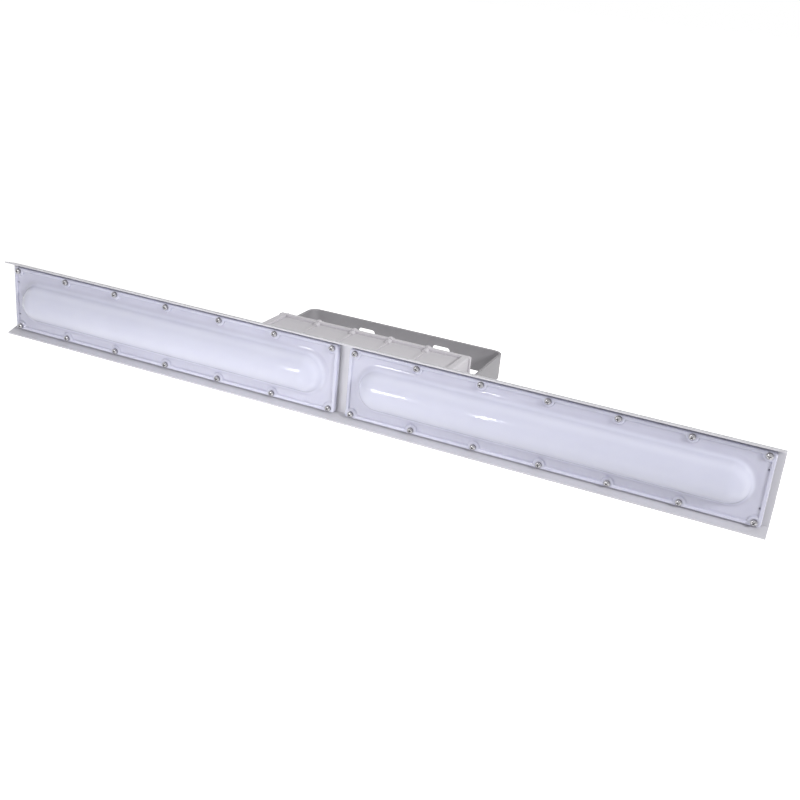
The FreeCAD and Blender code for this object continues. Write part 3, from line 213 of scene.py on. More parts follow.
def coatedMetal(name, coat):
    # a coat over metal: two close tones in soft blotches, a fine peel,
    # edges that pale partly from wear and partly as a painted highlight, and painted shade in the corners
    mat, tree, shader, coords = newMaterial(name)
    stretched = addNode(tree, "ShaderNodeMapping", {
        "Vector": coords, "Scale": coat["stretch"]}).outputs["Vector"]
    blotch = addNode(tree, "ShaderNodeTexNoise", {
        "Vector": stretched, "Scale": 1 / (coat["blotch"] * mm), "Detail": 4.0}).outputs["Fac"]
    peel = addNode(tree, "ShaderNodeTexNoise", {
        "Vector": stretched, "Scale": 1 / (coat["peel"] * mm), "Detail": 2.0}).outputs["Fac"]
    softened = addNode(tree, "ShaderNodeBevel", {
        "Radius": coat["edge"] * mm}, samples=coatMarks["samples"]).outputs["Normal"]
    flat = addNode(tree, "ShaderNodeNewGeometry").outputs["Normal"]
    agree = addNode(tree, "ShaderNodeVectorMath", {
        0: softened, 1: flat}, operation="DOT_PRODUCT").outputs["Value"]
    # the edges pale towards the edge tone: partly wear of the coat, partly a painted highlight
    edgeWearAndHighlight = addNode(tree, "ShaderNodeMapRange", {
        "Value": agree, "From Min": coatMarks["edgeStart"], "From Max": coatMarks["edgeFull"],
        "To Max": coat["edgeWearAndHighlight"]}).outputs["Result"]
    # painted shade: the coat darkens towards its corner tone where nearby surfaces shut out the surroundings
    nook = addNode(tree, "ShaderNodeAmbientOcclusion", {
        "Distance": coatMarks["nook"] * mm}, samples=coatMarks["samples"]).outputs["AO"]
    cornerShade = addNode(tree, "ShaderNodeMapRange", {
        "Value": nook, "From Min": coatMarks["cornerShadeFull"], "From Max": coatMarks["cornerShadeNone"],
        "To Min": coat["cornerShadeAmount"], "To Max": 0.0}).outputs["Result"]
    tint = linearColor(coat["shade"])
    for mask, toneName in ((blotch, "tone"), (edgeWearAndHighlight, "edgeWearAndHighlightTone"), (cornerShade, "cornerShade")):
        tint = addNode(tree, "ShaderNodeMix", {
            "Factor": mask, "A": tint, "B": linearColor(coat[toneName])}, data_type="RGBA").outputs["Result"]
    tree.links.new(tint, shader.inputs["Base Color"])
    bump = addNode(tree, "ShaderNodeBump", {
        "Height": peel, "Strength": coat["relief"], "Distance": coatMarks["peelHeight"] * mm, "Normal": softened})
    tree.links.new(bump.outputs["Normal"], shader.inputs["Normal"])
    gloss = addNode(tree, "ShaderNodeMapRange", {
        "Value": peel, "To Min": coat["roughLow"], "To Max": coat["roughHigh"]})
    tree.links.new(gloss.outputs["Result"], shader.inputs["Roughness"])
    return mat


# Aluminium extrusion with a stoved light grey coat: satin, with the die's lines running along the rail.
# Real die lines are about 1 mm apart; they are drawn 3 mm apart and long so that they show.
railMat = coatedMetal("stoved coat on extruded aluminium", {
    "tone": "#D1D0D6", "shade": "#C8C7CD", "edgeWearAndHighlightTone": "#DADADF", "cornerShade": "#8C8B90", "cornerShadeAmount": 0.12,
    "blotch": 30.0, "peel": 3.0, "stretch": (0.02, 1.0, 1.0), "edge": 0.5, "edgeWearAndHighlight": 0.5, "relief": 0.15,
    "roughLow": 0.36, "roughHigh": 0.48})

# Die-cast aluminium, powder coated light grey: soft sheen and a fine orange peel.
# Real peel is about 1 mm; it is drawn at 2 mm so that it shows.
castMat = coatedMetal("powder coat on cast aluminium", {
    "tone": "#E3E0E5", "shade": "#DBD8DD", "edgeWearAndHighlightTone": "#ECEAEE", "cornerShade": "#7E7B80", "cornerShadeAmount": 0.35,
    "blotch": 60.0, "peel": 2.0, "stretch": (1.0, 1.0, 1.0), "edge": 0.5, "edgeWearAndHighlight": 0.6, "relief": 0.25,
    "roughLow": 0.42, "roughHigh": 0.58})

# Folded steel strap, powder coated a darker grey: a shallower peel, and pale along its cut edges, partly
# from wear and partly as a painted highlight.
strapMat = coatedMetal("powder coat on folded steel", {
    "tone": "#9F9DA1", "shade": "#959397", "edgeWearAndHighlightTone": "#D0CFD2", "cornerShade": "#6E6D70", "cornerShadeAmount": 0.35,
    "blotch": 40.0, "peel": 2.2, "stretch": (1.0, 1.0, 1.0), "edge": 1.6, "edgeWearAndHighlight": 0.8, "relief": 0.2,
    "roughLow": 0.38, "roughHigh": 0.52})


def mottledMaterial(title, light, dark, grainSize):
    # two close tones mixed by a fine noise, which comes back too, for the gloss or the relief
    mat, tree, shader, coords = newMaterial(title)
    mottle = addNode(tree, "ShaderNodeTexNoise", {
        "Vector": coords, "Scale": 1 / (grainSize * mm), "Detail": 3.0}).outputs["Fac"]
    tint = addNode(tree, "ShaderNodeMix", {
        "Factor": mottle, "A": linearColor(dark), "B": linearColor(light)}, data_type="RGBA")
    tree.links.new(tint.outputs["Result"], shader.inputs["Base Color"])
    return mat, tree, shader, mottle


# Bare metals: name, two tones, scuff in mm, lowest and highest roughness.
# Stainless steel, turned, is mid grey and shiny with small scuffs; nickel on brass is warmer and softer.
# Folded aluminium sheet keeps the dull mottle of the rolling mill.
bareMetals = {
    "steel": ("stainless steel, turned", "#BDBCBF", "#9B9A9E", 1.5, 0.1, 0.22),
    "plate": ("nickel plated brass, turned", "#C6BFAC", "#B3AC9A", 2.0, 0.2, 0.38),
    "case": ("mill finish aluminium, folded", "#B8B9BB", "#A6A7AA", 6.0, 0.3, 0.46),
}
bareMats = {}
for key, (title, light, dark, scuffSize, roughLow, roughHigh) in bareMetals.items():
    bareMats[key], tree, shader, scuff = mottledMaterial(title, light, dark, scuffSize)
    gloss = addNode(tree, "ShaderNodeMapRange", {"Value": scuff, "To Min": roughLow, "To Max": roughHigh})
    tree.links.new(gloss.outputs["Result"], shader.inputs["Roughness"])
    shader.inputs["Metallic"].default_value = 1.0

# Rubber, plastic and ceramic: name, two tones, mottle in mm, roughness, IOR.
# Each has the fine mottle of its own moulding, cutting or pressing, and its own dullness.
plainFinishes = {
    "silicone": ("silicone rubber, die cut", "#B9B9BE", "#ADADB4", 3.0, 0.6, 1.41),
    "seal": ("neoprene, moulded", "#202020", "#151515", 2.0, 0.65, 1.52),
    "mask": ("solder mask on aluminium, printed", "#EEEEEA", "#E4E4E0", 8.0, 0.4, 1.5),
    "phosphor": ("phosphor resin, cast", "#F0CF55", "#E3BA3A", 1.0, 0.5, 1.5),
    "ceramic": ("steatite, pressed", "#E9E5DA", "#DCD7CA", 2.0, 0.5, 1.6),
    "nylon": ("black nylon, moulded", "#2B2B2C", "#1F1F20", 2.0, 0.5, 1.53),
}
plainRelief = {"strength": 0.2, "height": 0.1}
plainMats = {}
for key, (title, light, dark, grainSize, rough, ior) in plainFinishes.items():
    plainMats[key], tree, shader, mottle = mottledMaterial(title, light, dark, grainSize)
    bump = addNode(tree, "ShaderNodeBump", {
        "Height": mottle, "Strength": plainRelief["strength"], "Distance": plainRelief["height"] * mm})
    tree.links.new(bump.outputs["Normal"], shader.inputs["Normal"])
    shader.inputs["Roughness"].default_value = rough
    shader.inputs["IOR"].default_value = ior

dress(railMat, "rail")
dress(castMat, "driver_box", "box_cover")
dress(strapMat, "mounting_bracket")
dress(bareMats["steel"], "lens_washers", "board_screws", "driver_screws", "terminal_screws", "box_screws",
      "earth_washer", "pivot_flat_washers")
dress(bareMats["plate"], "cable_gland_body")
dress(bareMats["case"], "led_driver")
dress(plainMats["silicone"], "lens_gasket_left", "lens_gasket_right", "cover_gasket")
dress(plainMats["seal"], "cable_gland_seal")
dress(plainMats["mask"], "led_board_left", "led_board_right")
dress(plainMats["phosphor"], "led_chips_left", "led_chips_right")
dress(plainMats["ceramic"], "terminal_block")
dress(plainMats["nylon"], "wire_bushings", "pivot_friction_washers")
print("materials done")


# Lens: the moulding, its screws and pin marks, the steps of its mesh, where it is milky, and where light and
# shade are painted on it.
# The two fades are the distances from the dome's radius at which the milkiness starts and is full.
lens = {
    "flange": 8.2, "rim": 5.0, "step": 2.5, "soft": 0.7, "fieldCorner": 9.0, "outerCorner": 3.0, "edge": 0.8,
    "domeRadius": 31.0, "domeSink": 6.0, "domeMargin": 19.5, "wall": 3.5, "fillet": 11.0,
    "screwEdge": 5.3, "screws": 7, "pitch": 95.0, "boss": 8.5,
    "pinX": 288.0, "pinZ": 27.0, "pin": 1.5, "pinDepth": 1.6, "pinSoft": 0.4,
    "fineReach": 10.5, "fineSteps": 27, "wideReach": 11.5, "wideSteps": 101, "closest": 0.05,
    "fanSteps": 181, "arcSteps": 22, "fieldStart": 0.3, "fieldSteps": 36, "fieldEase": 0.9,
    "innerSteps": 12, "sharp": 50,
    "footPaintedLight": 0.55, "footFade": (4.0, -1.0), "topMilk": 0.45, "topFade": (-2.0, -14.0),
    "rimPaintedLight": 0.15, "rimFade": 2.0, "pitFade": 0.8, "pitFront": 2.0,
}


def screwColumns():
    # places of the screws along a lens, from its middle, in mm
    return (np.arange(lens["screws"]) - (lens["screws"] - 1) / 2) * lens["pitch"]


def lensLines(halfX, halfZ, straight):
    # Lines leave the dome's centre line square to it, or fan out at its ends, and reach the flange's edge.
    # Along the straight they are close together beside each screw and wide apart between the screws.
    columns = screwColumns()
    near = columns[np.abs(columns) < straight]
    fine = (near[:, None] + np.linspace(-lens["fineReach"], lens["fineReach"], lens["fineSteps"])).ravel()
    wide = np.linspace(-straight, straight, lens["wideSteps"])
    wide = wide[np.min(np.abs(wide[:, None] - near), axis=1) > lens["wideReach"]]
    along = np.sort(np.concatenate([fine, wide, [-straight, straight]]))
    along = along[np.concatenate([[True], np.diff(along) > lens["closest"]])]
    fan = np.radians(np.linspace(90, -90, lens["fanSteps"]))[1:-1]
    baseX = np.concatenate([along, np.full(len(fan), straight), along[::-1], np.full(len(fan), -straight)])
    dirX = np.concatenate([0 * along, np.cos(fan), 0 * along, -np.cos(fan)])
    dirZ = np.concatenate([1 + 0 * along, np.sin(fan), -1 + 0 * along, -np.sin(fan)])
    # reach of each line: the nearer of the long and the short side, or the rounded corner
    tiny = 1e-9
    corner = lens["outerCorner"]
    room = halfX - np.abs(baseX)
    stepX, stepZ = np.maximum(np.abs(dirX), tiny), np.maximum(np.abs(dirZ), tiny)
    reach = np.minimum(halfZ / stepZ, room / stepX)
    cornerX, cornerZ = room - corner, halfZ - corner
    toward = stepX * cornerX + stepZ * cornerZ
    under = toward ** 2 - (cornerX ** 2 + cornerZ ** 2) + corner ** 2
    inCorner = (stepX * reach > cornerX) & (stepZ * reach > cornerZ) & (under > 0)
    reach = np.where(inCorner, toward + np.sqrt(np.maximum(under, 0)), reach)
    return baseX, dirX, dirZ, reach


def fieldHeight(x, z, halfX, halfZ):
    # the field lies one step below the rim, whose inner corners are round, and the screw bosses
    soft = lens["soft"]
    insideX = np.maximum(np.abs(x) - (halfX - lens["rim"] - lens["fieldCorner"]), 0)
    insideZ = np.maximum(np.abs(z) - (halfZ - lens["rim"] - lens["fieldCorner"]), 0)
    rim = smoothStep(-soft, soft, np.hypot(insideX, insideZ) - lens["fieldCorner"])
    gapX = np.min(np.abs(x[..., None] - screwColumns()), axis=-1)
    gapZ = np.abs(z) - (halfZ - lens["screwEdge"])
    boss = smoothStep(-soft, soft, lens["boss"] - np.hypot(gapX, gapZ))
    return lens["flange"] - lens["step"] * (1 - np.maximum(rim, boss))


def paintLens(piece, midX, halfX, halfZ, straight, back, pinSide):
    # the milk value: 1 on top of the dome, about half on its steep foot, which gives the foot the lightest
    # tone as painted light, a little on the rim, also painted light, 0 on the flange's field; the pin value:
    # 1 in the two pin marks, painted shade
    radius = lens["domeRadius"]
    spot = np.zeros(len(piece.data.vertices) * 3)
    piece.data.vertices.foreach_get("co", spot)
    x, y, z = spot.reshape(-1, 3).T / mm
    across = np.hypot(np.maximum(np.abs(x - midX) - straight, 0), z)
    footStart, footEnd = lens["footFade"]
    topStart, topEnd = lens["topFade"]
    foot = lens["footPaintedLight"] * smoothStep(radius + footStart, radius + footEnd, across)
    top = lens["topMilk"] * smoothStep(radius + topStart, radius + topEnd, across)
    toEdge = np.minimum(halfX - np.abs(x - midX), halfZ - np.abs(z))
    rim = lens["rimPaintedLight"] * smoothStep(lens["rim"], lens["rim"] - lens["rimFade"], toEdge)
    pinGap = np.hypot(x - midX - pinSide * lens["pinX"], np.abs(z) - lens["pinZ"])
    # painted shade inside the two pin dents
    pinMarkShadeMask = smoothStep(lens["pin"], lens["pin"] - lens["pitFade"], pinGap) * (y < back - lens["pitFront"])
    for name, values in (("milkAndPaintedLight", np.maximum(foot + top, rim)), ("pinMarkShade", pinMarkShadeMask)):
        layer = piece.data.attributes.new(name, "FLOAT", "POINT")
        layer.data.foreach_set("value", values.astype(np.float32))


def lensSurface(name, node, pinSide):
    # Along each line the height follows the dome's arc, its foot, the field, the rim or a screw boss
    # and the edge, then the side, the flat back and the inner arc, so the whole is one closed shell.
    low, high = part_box(node)
    midX = (low.x + high.x) / 2 / mm
    halfX = (high.x - low.x) / 2 / mm
    halfZ = (high.z - low.z) / 2 / mm
    back = high.y / mm
    radius = lens["domeRadius"]
    center = lens["flange"] - lens["domeSink"]  # height of the dome's axis over the back
    straight = halfX - lens["domeMargin"] - radius
    baseX, dirX, dirZ, reach = lensLines(halfX, halfZ, straight)
    lines = len(reach)
    # a fillet's circle touches the field and the dome: its centre is footR from the centre line,
    # and the dome's arc ends at the touching point
    fillet = lens["fillet"]
    rise = lens["flange"] - lens["step"] + fillet - center
    footR = math.sqrt((radius + fillet) ** 2 - rise ** 2)
    lean = np.linspace(0, math.acos(rise / (radius + fillet)), lens["arcSteps"])
    # outer skin: the dome's arc, then the field out to the edge
    share = np.linspace(0, 1, lens["fieldSteps"]) ** lens["fieldEase"]
    start = radius * math.sin(lean[-1]) + lens["fieldStart"]
    fieldR = start + (reach[:, None] - start) * share
    r = np.concatenate([np.tile(radius * np.sin(lean), (lines, 1)), fieldR], axis=1)
    x, z = baseX[:, None] + r * dirX[:, None], r * dirZ[:, None]
    # the dome's foot runs into the field
    foot = fillet - np.sqrt(np.maximum(fillet ** 2 - np.clip(footR - r, 0, fillet) ** 2, 0))
    field = np.maximum(fieldHeight(x, z, halfX, halfZ), lens["flange"] - lens["step"] + foot)
    # two small ejector pin marks at the outer end, round dents
    pinGap = np.hypot(x - pinSide * lens["pinX"], np.abs(z) - lens["pinZ"])
    field = field - lens["pinDepth"] * smoothStep(lens["pinSoft"], -lens["pinSoft"], pinGap - lens["pin"])
    fromEdge = lens["edge"] - np.clip(reach[:, None] - r, 0, lens["edge"])
    field = field - lens["edge"] + np.sqrt(np.maximum(lens["edge"] ** 2 - fromEdge ** 2, 0))
    dome = np.concatenate([center + radius * np.cos(lean), 0 * share])
    height = np.where(np.arange(r.shape[1]) < len(lean), dome, field)
    # side, flat back and inner arc
    inner = radius - lens["wall"]
    innerLean = np.linspace(math.pi / 2 + math.asin(center / inner), 0, lens["innerSteps"])
    innerR = np.tile(inner * np.sin(innerLean), (lines, 1))
    innerHeight = np.tile(center + inner * np.cos(innerLean), (lines, 1))
    sideR = np.stack([reach, reach, (reach + innerR[:, 0]) / 2], axis=1)
    sideHeight = np.tile([lens["flange"] / 2, 0.0, 0.0], (lines, 1))
    r = np.concatenate([r, sideR, innerR], axis=1)
    height = np.concatenate([height, sideHeight, innerHeight], axis=1)
    x, z = midX + baseX[:, None] + r * dirX[:, None], r * dirZ[:, None]
    verts = np.stack([x, back - height, z], axis=-1) * mm
    quads = gridQuads(np.arange(r.size).reshape(r.shape), closedRows=True)
    piece = meshPiece(name, verts.reshape(-1, 3), quads, sharp=lens["sharp"])
    paintLens(piece, midX, halfX, halfZ, straight, back, pinSide)
    return piece


for side, pinSide in (("left", -1), ("right", 1)):
    shell = lensSurface("lensShell_" + side, "lens_" + side, pinSide)
    finishPiece(shell, "lamp", "opal_lens", opalMat, "lens_" + side)
print("lenses done")


# Lens screws: pan heads with a cross recess, each left at its own angle.
# The recess edge is a four-lobed curve, web + (slot - web) |cos 2a|^6,
# and the crown falls with the cube of the radius.
panHead = {
    "radius": 4.3, "height": 3.4, "crown": 1.3, "crownSteps": 7, "crownShare": 0.98, "crownEdge": 0.2,
    "recess": 2.8, "slot": 3.1, "web": 1.15, "floorShare": 0.5, "wallShare": 0.9, "wallDrop": 0.5,
    "bevel": 0.15, "shank": 2.5, "length": 18.6, "sides": 64, "seed": 7,
}
sides = turnAngles(panHead["sides"])
turns = np.random.default_rng(panHead["seed"]).uniform(0, math.pi / 2, 4 * lens["screws"])[:, None]
lobe = panHead["web"] + (panHead["slot"] - panHead["web"]) * np.abs(np.cos(2 * (sides - turns))) ** 6
outer = panHead["radius"] + 0 * lobe
shank = panHead["shank"] + 0 * lobe
top = panHead["height"]
bottom = top - panHead["recess"]
rings = [(0 * lobe, bottom), (lobe * panHead["floorShare"], bottom),
         (lobe * panHead["wallShare"], top - panHead["wallDrop"])]
for part in np.linspace(0, 1, panHead["crownSteps"]):
    ring = lobe + (outer * panHead["crownShare"] - lobe) * part
    rings.append((ring, top - panHead["crown"] * (ring / outer) ** 3))
rings += [(outer, top - panHead["crown"] - panHead["crownEdge"]), (outer, panHead["bevel"]),
          (outer - panHead["bevel"], 0.0), (shank, 0.0), (shank, -panHead["length"]),
          (0 * lobe, -panHead["length"])]
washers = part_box("lens_washers")[0]
screwPlaces = []
for side in ("left", "right"):
    low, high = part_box("lens_" + side)
    columns = (low.x + high.x) / 2 + screwColumns() * mm
    screwPlaces += [(x, washers.y, z * (high.z - lens["screwEdge"] * mm)) for x in columns for z in (-1, 1)]
heads = meshPiece("lensScrewHeads", *ringStack(rings, "-y", screwPlaces))
finishPiece(heads, "lamp", "stainless", bareMats["steel"], "lens_screws")


# Cover screws: cap heads with a hexagon socket;
# the side is a circle with a small cosine ripple for the knurl.
capHead = {
    "radius": 3.5, "height": 4.0, "socket": 3.0, "socketDepth": 2.2, "mouthShare": 0.6, "mouthDrop": 0.3,
    "rounding": ((0.6, 0.0), (0.25, 0.15)), "knurl": 0.1, "knurlDrop": 0.5, "ridges": 24, "foot": 0.3,
    "shank": 2.0, "columns": (-90.3, -30.1, 30.1, 90.3), "row": 39.0, "end": 151.0, "sides": 96,
}
sides = turnAngles(capHead["sides"])
one = np.ones_like(sides)
low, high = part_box("cover_screws")
top = capHead["height"]
bottom = top - capHead["socketDepth"]
length = (high.y - low.y) / mm - top
knurl = capHead["radius"] - capHead["knurl"] * (0.5 - 0.5 * np.cos(capHead["ridges"] * sides))
socket = hexRadius(sides, capHead["socket"])
rings = [(0 * one, bottom), (socket, bottom), (socket, top - capHead["mouthDrop"]),
         (one * capHead["socket"] * capHead["mouthShare"], top)]
rings += [(one * (capHead["radius"] - inset), top - drop) for inset, drop in capHead["rounding"]]
rings += [(knurl, top - capHead["knurlDrop"]), (knurl, capHead["foot"]),
          (one * (capHead["radius"] - capHead["foot"]), 0.0), (one * capHead["shank"], 0.0),
          (one * capHead["shank"], -length), (0 * one, -length)]
ends = (-capHead["end"], capHead["end"])
capPlaces = [(x, z) for x in capHead["columns"] + ends for z in (-capHead["row"], capHead["row"])]
capPlaces += [(x, 0) for x in ends]
capPlaces = [(x * mm, high.y - top * mm, z * mm) for x, z in capPlaces]
heads = meshPiece("coverScrewHeads", *ringStack(rings, "+y", capPlaces))
finishPiece(heads, "lamp", "stainless", bareMats["steel"], "cover_screws")


# Hexagon heads: a shallow dish on top, corners cut by a cone above and less below, and a bevelled tip.
hexHead = {"flatShare": 0.47, "dishShare": 0.8, "dishRim": 0.86, "dish": 0.3, "cone": 30.0,
           "underShare": 0.4, "tip": 0.8, "sides": 48, "sharp": 25}


def hexBolt(flats, height, shank, length):
    # the cone's cut: level = height - (radius - top radius) tan 30 degrees, on a hexagon with a round shank
    sides = turnAngles(hexHead["sides"])
    one = np.ones_like(sides)
    flat = flats * hexHead["flatShare"]
    edge = hexRadius(sides, flats)
    cone = (edge - flat) * math.tan(math.radians(hexHead["cone"]))
    dish, tip = height - hexHead["dish"], hexHead["tip"]
    return [(0 * one, dish), (one * flat * hexHead["dishShare"], dish),
            (one * flat * hexHead["dishRim"], height), (one * flat, height),
            (edge, height - cone), (edge, cone * hexHead["underShare"]),
            (one * flat, 0.0), (one * shank, 0.0), (one * shank, tip - length),
            (one * (shank - tip), -length), (0 * one, -length)]


pivotBolt = {"flats": 16.0, "height": 6.4, "shank": 5.0, "length": 30.2}
low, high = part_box("pivot_bolts")
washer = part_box("pivot_spring_washers")[1]
middleY, middleZ = (low.y + high.y) / 2, (low.z + high.z) / 2
rings = hexBolt(**pivotBolt)
right = ringStack(rings, "+x", [(washer.x, middleY, middleZ)])
left = ringStack(rings, "-x", [(-washer.x, middleY, middleZ)])
heads = meshPiece("pivotBoltHeads", *joined(right, left), sharp=hexHead["sharp"])
finishPiece(heads, "lamp", "stainless", bareMats["steel"], "pivot_bolts")

earthScrew = {"flats": 10.0, "height": 4.0, "shank": 3.0}
low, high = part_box("earth_screw")
earthSeat = low.z + earthScrew["height"] * mm
rings = hexBolt(length=(high.z - earthSeat) / mm, **earthScrew)
places = [((low.x + high.x) / 2, (low.y + high.y) / 2, earthSeat)]
head = meshPiece("earthScrewHead", *ringStack(rings, "-z", places), sharp=hexHead["sharp"])
finishPiece(head, "lamp", "stainless", bareMats["steel"], "earth_screw")


springWasher = {"inner": 5.25, "outer": 8.5, "split": 7.0, "rise": 0.5, "bevel": 0.25,
                "steps": 72, "sharp": 30}


def splitRing(axis, place, thick):
    # a rectangle with small bevels is carried round the axis from one side of the split to the other,
    # rising evenly on the way; at both ends it shrinks to its middle, so the cut faces are closed
    b = springWasher["bevel"]
    inner, outer, high = springWasher["inner"], springWasher["outer"], thick - springWasher["rise"]
    profile = np.array([(inner + b, 0), (outer - b, 0), (outer, b), (outer, high - b),
                        (outer - b, high), (inner + b, high), (inner, high - b), (inner, b)])
    halfSplit = springWasher["split"] / 2
    angle = np.radians(np.linspace(halfSplit, 360 - halfSplit, springWasher["steps"]))
    angle = np.concatenate([angle[:1], angle, angle[-1:]])
    kept = np.ones((len(angle), 1, 1))
    kept[[0, -1]] = 0
    section = profile.mean(axis=0) + (profile - profile.mean(axis=0)) * kept
    level = section[..., 1] + springWasher["rise"] * (angle[:, None] / (2 * math.pi))
    across = section[..., 0]
    local = np.stack([across * np.cos(angle)[:, None], across * np.sin(angle)[:, None], level], -1) * mm
    verts = local @ headAxes[axis] + np.array(place)
    return verts.reshape(-1, 3), gridQuads(np.arange(across.size).reshape(across.shape), closedColumns=True)


low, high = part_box("pivot_flat_washers")
thick = (washer.x - high.x) / mm
right = splitRing("+x", (high.x, middleY, middleZ), thick)
left = splitRing("-x", (low.x, middleY, middleZ), thick)
piece = meshPiece("pivotSplitWashers", *joined(right, left), sharp=springWasher["sharp"])
finishPiece(piece, "lamp", "stainless", bareMats["steel"], "pivot_spring_washers")


# Gland nut: a hexagon with both ends cut by a cone, then a dome that closes to the cable's mouth.
# The dome is an ellipse from the hexagon's inscribed circle to the rim of the mouth.
glandNut = {"flats": 26.0, "flatShare": 0.475, "cone": 30.0, "hexLength": 8.5, "socket": 9.2, "mouth": 5.0,
            "mouthWall": 1.6, "mouthBevel": 0.5, "lip": 2.0, "domeSteps": 9, "sides": 72, "sharp": 28}
low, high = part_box("cable_gland_nut")
length = (high.z - low.z) / mm
sides = turnAngles(glandNut["sides"])
one = np.ones_like(sides)
flat = glandNut["flats"] * glandNut["flatShare"]
edge = hexRadius(sides, glandNut["flats"])
cone = (edge - flat) * math.tan(math.radians(glandNut["cone"]))
hexLength, mouth, socket = glandNut["hexLength"], glandNut["mouth"], glandNut["socket"]
rim = mouth + glandNut["mouthWall"]
bevel = glandNut["mouthBevel"]
lip = length - glandNut["lip"]
rings = [(one * socket, 0.0), (one * flat, 0.0), (edge, cone), (edge, hexLength - cone)]
for bow in np.radians(np.linspace(0, 90, glandNut["domeSteps"])):
    domeRing = one * (rim + (flat - rim) * math.cos(bow))
    rings.append((domeRing, hexLength + (length - hexLength) * math.sin(bow)))
rings += [(one * (mouth + bevel), length), (one * mouth, length - bevel),
          (one * mouth, lip), (one * socket, lip)]
places = [((low.x + high.x) / 2, (low.y + high.y) / 2, high.z)]
nut = meshPiece("glandDomeNut", *ringStack(rings, "-z", places, closedProfile=True), sharp=glandNut["sharp"])
finishPiece(nut, "lamp", "plated_brass", bareMats["plate"], "cable_gland_nut")
print("fasteners and gland done")


# Studio, in metres: a wide pale floor and a white surround.
studio = {"floorLevel": -0.75, "floorSize": 60.0, "paper": "#F2F2F2", "lift": 0.8, "ambient": 0.25}
half, level = studio["floorSize"] / 2, studio["floorLevel"]
floorCorners = [(-half, -half, level), (half, -half, level), (half, half, level), (-half, half, level)]
floorMesh = bpy.data.meshes.new("floor")
floorMesh.from_pydata(floorCorners, [], [(0, 1, 2, 3)])
floor = bpy.data.objects.new("floor", floorMesh)
bpy.context.scene.collection.objects.link(floor)


def seenDirectly(tree):
    # 1 for rays from the camera, a reflection or a clear material, 0 for rays that carry light
    path = addNode(tree, "ShaderNodeLightPath")
    seen = path.outputs["Is Camera Ray"]
    for rayName in ("Is Glossy Ray", "Is Transmission Ray"):
        seen = addNode(tree, "ShaderNodeMath", {
            0: seen, 1: path.outputs[rayName]}, operation="MAXIMUM").outputs[0]
    return seen


# Studio paper, matt: seen directly it is lifted to white and still takes the object's shadow.
floorMat, tree, shader, coords = newMaterial("studio paper, matt")
shader.inputs["Base Color"].default_value = linearColor(studio["paper"])
shader.inputs["Roughness"].default_value = 1.0
lift = addNode(tree, "ShaderNodeMath", {0: seenDirectly(tree), 1: studio["lift"]}, operation="MULTIPLY")
glow = addNode(tree, "ShaderNodeEmission", {"Strength": lift.outputs[0]})
both = addNode(tree, "ShaderNodeAddShader", {0: shader.outputs[0], 1: glow.outputs[0]})
tree.links.new(both.outputs[0], tree.nodes["Material Output"].inputs["Surface"])
floorMesh.materials.append(floorMat)

world = bpy.data.worlds.new("studio")
bpy.context.scene.world = world
world.use_nodes = True
tree = world.node_tree
tree.nodes.clear()
strength = addNode(tree, "ShaderNodeMapRange", {
    "Value": seenDirectly(tree), "To Min": studio["ambient"], "To Max": 1.0}).outputs["Result"]
sky = addNode(tree, "ShaderNodeBackground", {"Color": (1, 1, 1, 1), "Strength": strength})
addNode(tree, "ShaderNodeOutputWorld", {"Surface": sky.outputs[0]})

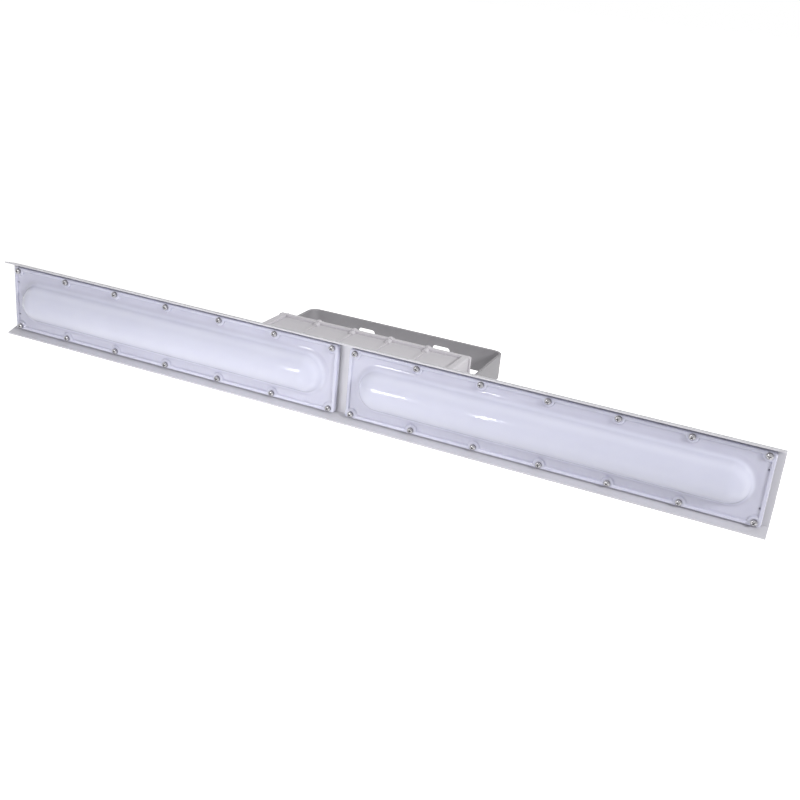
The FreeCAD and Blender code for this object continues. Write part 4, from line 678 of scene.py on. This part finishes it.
# Lamps, in metres and watts: place, target, width, height, power, and whether reflections show the lamp.
# The first six light the object from the front, below, the right, above, behind and the left.
# The glint lamps make the streaks and dots on the domes.
lamps = {
    "keyLamp": ((0.0, -0.80, 0.10), (0.0, -0.2, 0.0), 0.5, 0.1, 1.08, False),
    "bounceLamp": ((-0.25, -0.55, -0.30), (-0.2, -0.22, 0.0), 0.3, 0.1, 0.5, False),
    "sideLamp": ((2.37, -1.29, 1.32), (0.35, -0.2, 0.0), 0.4, 0.4, 44.0, False),
    "overheadLamp": ((-0.1, -0.2, 2.4), (-0.1, -0.15, 0.0), 1.6, 0.5, 8.0, False),
    "backLamp": ((-0.5, 2.8, 0.55), (0.0, -0.1, 0.0), 1.6, 0.8, 18.0, False),
    "fillLamp": ((-1.28, -2.145, 0.36), (0.08, -0.24, 0.0), 0.37, 0.45, 6.0, False),
    "glintStreak": ((-0.92, -2.356, 0.36), (0.26, -0.346, 0.0), 0.43, 0.45, 7.0, True),
    "glintBlob": ((-0.44, -2.45, 0.62), (0.24, -0.24, 0.0), 0.05, 0.6, 1.6, True),
    "glintDot": ((1.55, -2.00, 1.30), (0.55, -0.24, 0.0), 0.1, 0.1, 0.6, True),
    "glintRear": ((-0.76, 2.02, 0.30), (0.09, -0.21, 0.03), 0.25, 0.15, 0.4, True),
}
for name, (place, target, width, height, power, glossy) in lamps.items():
    lamp = bpy.data.lights.new(name, "AREA")
    lamp.shape = "RECTANGLE"
    lamp.size, lamp.size_y, lamp.energy = width, height, power
    holder = bpy.data.objects.new(name, lamp)
    holder.location = place
    holder.rotation_euler = (Vector(target) - Vector(place)).to_track_quat("-Z", "Y").to_euler()
    holder.visible_camera = False
    holder.visible_glossy = glossy
    bpy.context.scene.collection.objects.link(holder)

# Camera: place and turn found from the screws' places in the photograph, on an 800 by 800 picture.
shot = {"place": (0.636874, -1.527956, 0.581155), "right": (0.9053046, 0.4154157, 0.0886192),
        "forward": (-0.3542847, 0.8535684, -0.3819729),
        "lens": 49.2546, "sensor": 36.0, "near": 0.05, "far": 60.0}
camera = bpy.data.cameras.new("photoCamera")
camera.lens, camera.sensor_width = shot["lens"], shot["sensor"]
camera.clip_start, camera.clip_end = shot["near"], shot["far"]
cameraHolder = bpy.data.objects.new("photoCamera", camera)
forward = Vector(shot["forward"]).normalized()
up = Vector(shot["right"]).cross(forward).normalized()
turn = Matrix((forward.cross(up), up, -forward)).transposed().to_4x4()
cameraHolder.matrix_world = Matrix.Translation(shot["place"]) @ turn
bpy.context.scene.collection.objects.link(cameraHolder)
bpy.context.scene.camera = cameraHolder
bpy.context.scene.view_settings.view_transform = "Standard"
print("studio done")
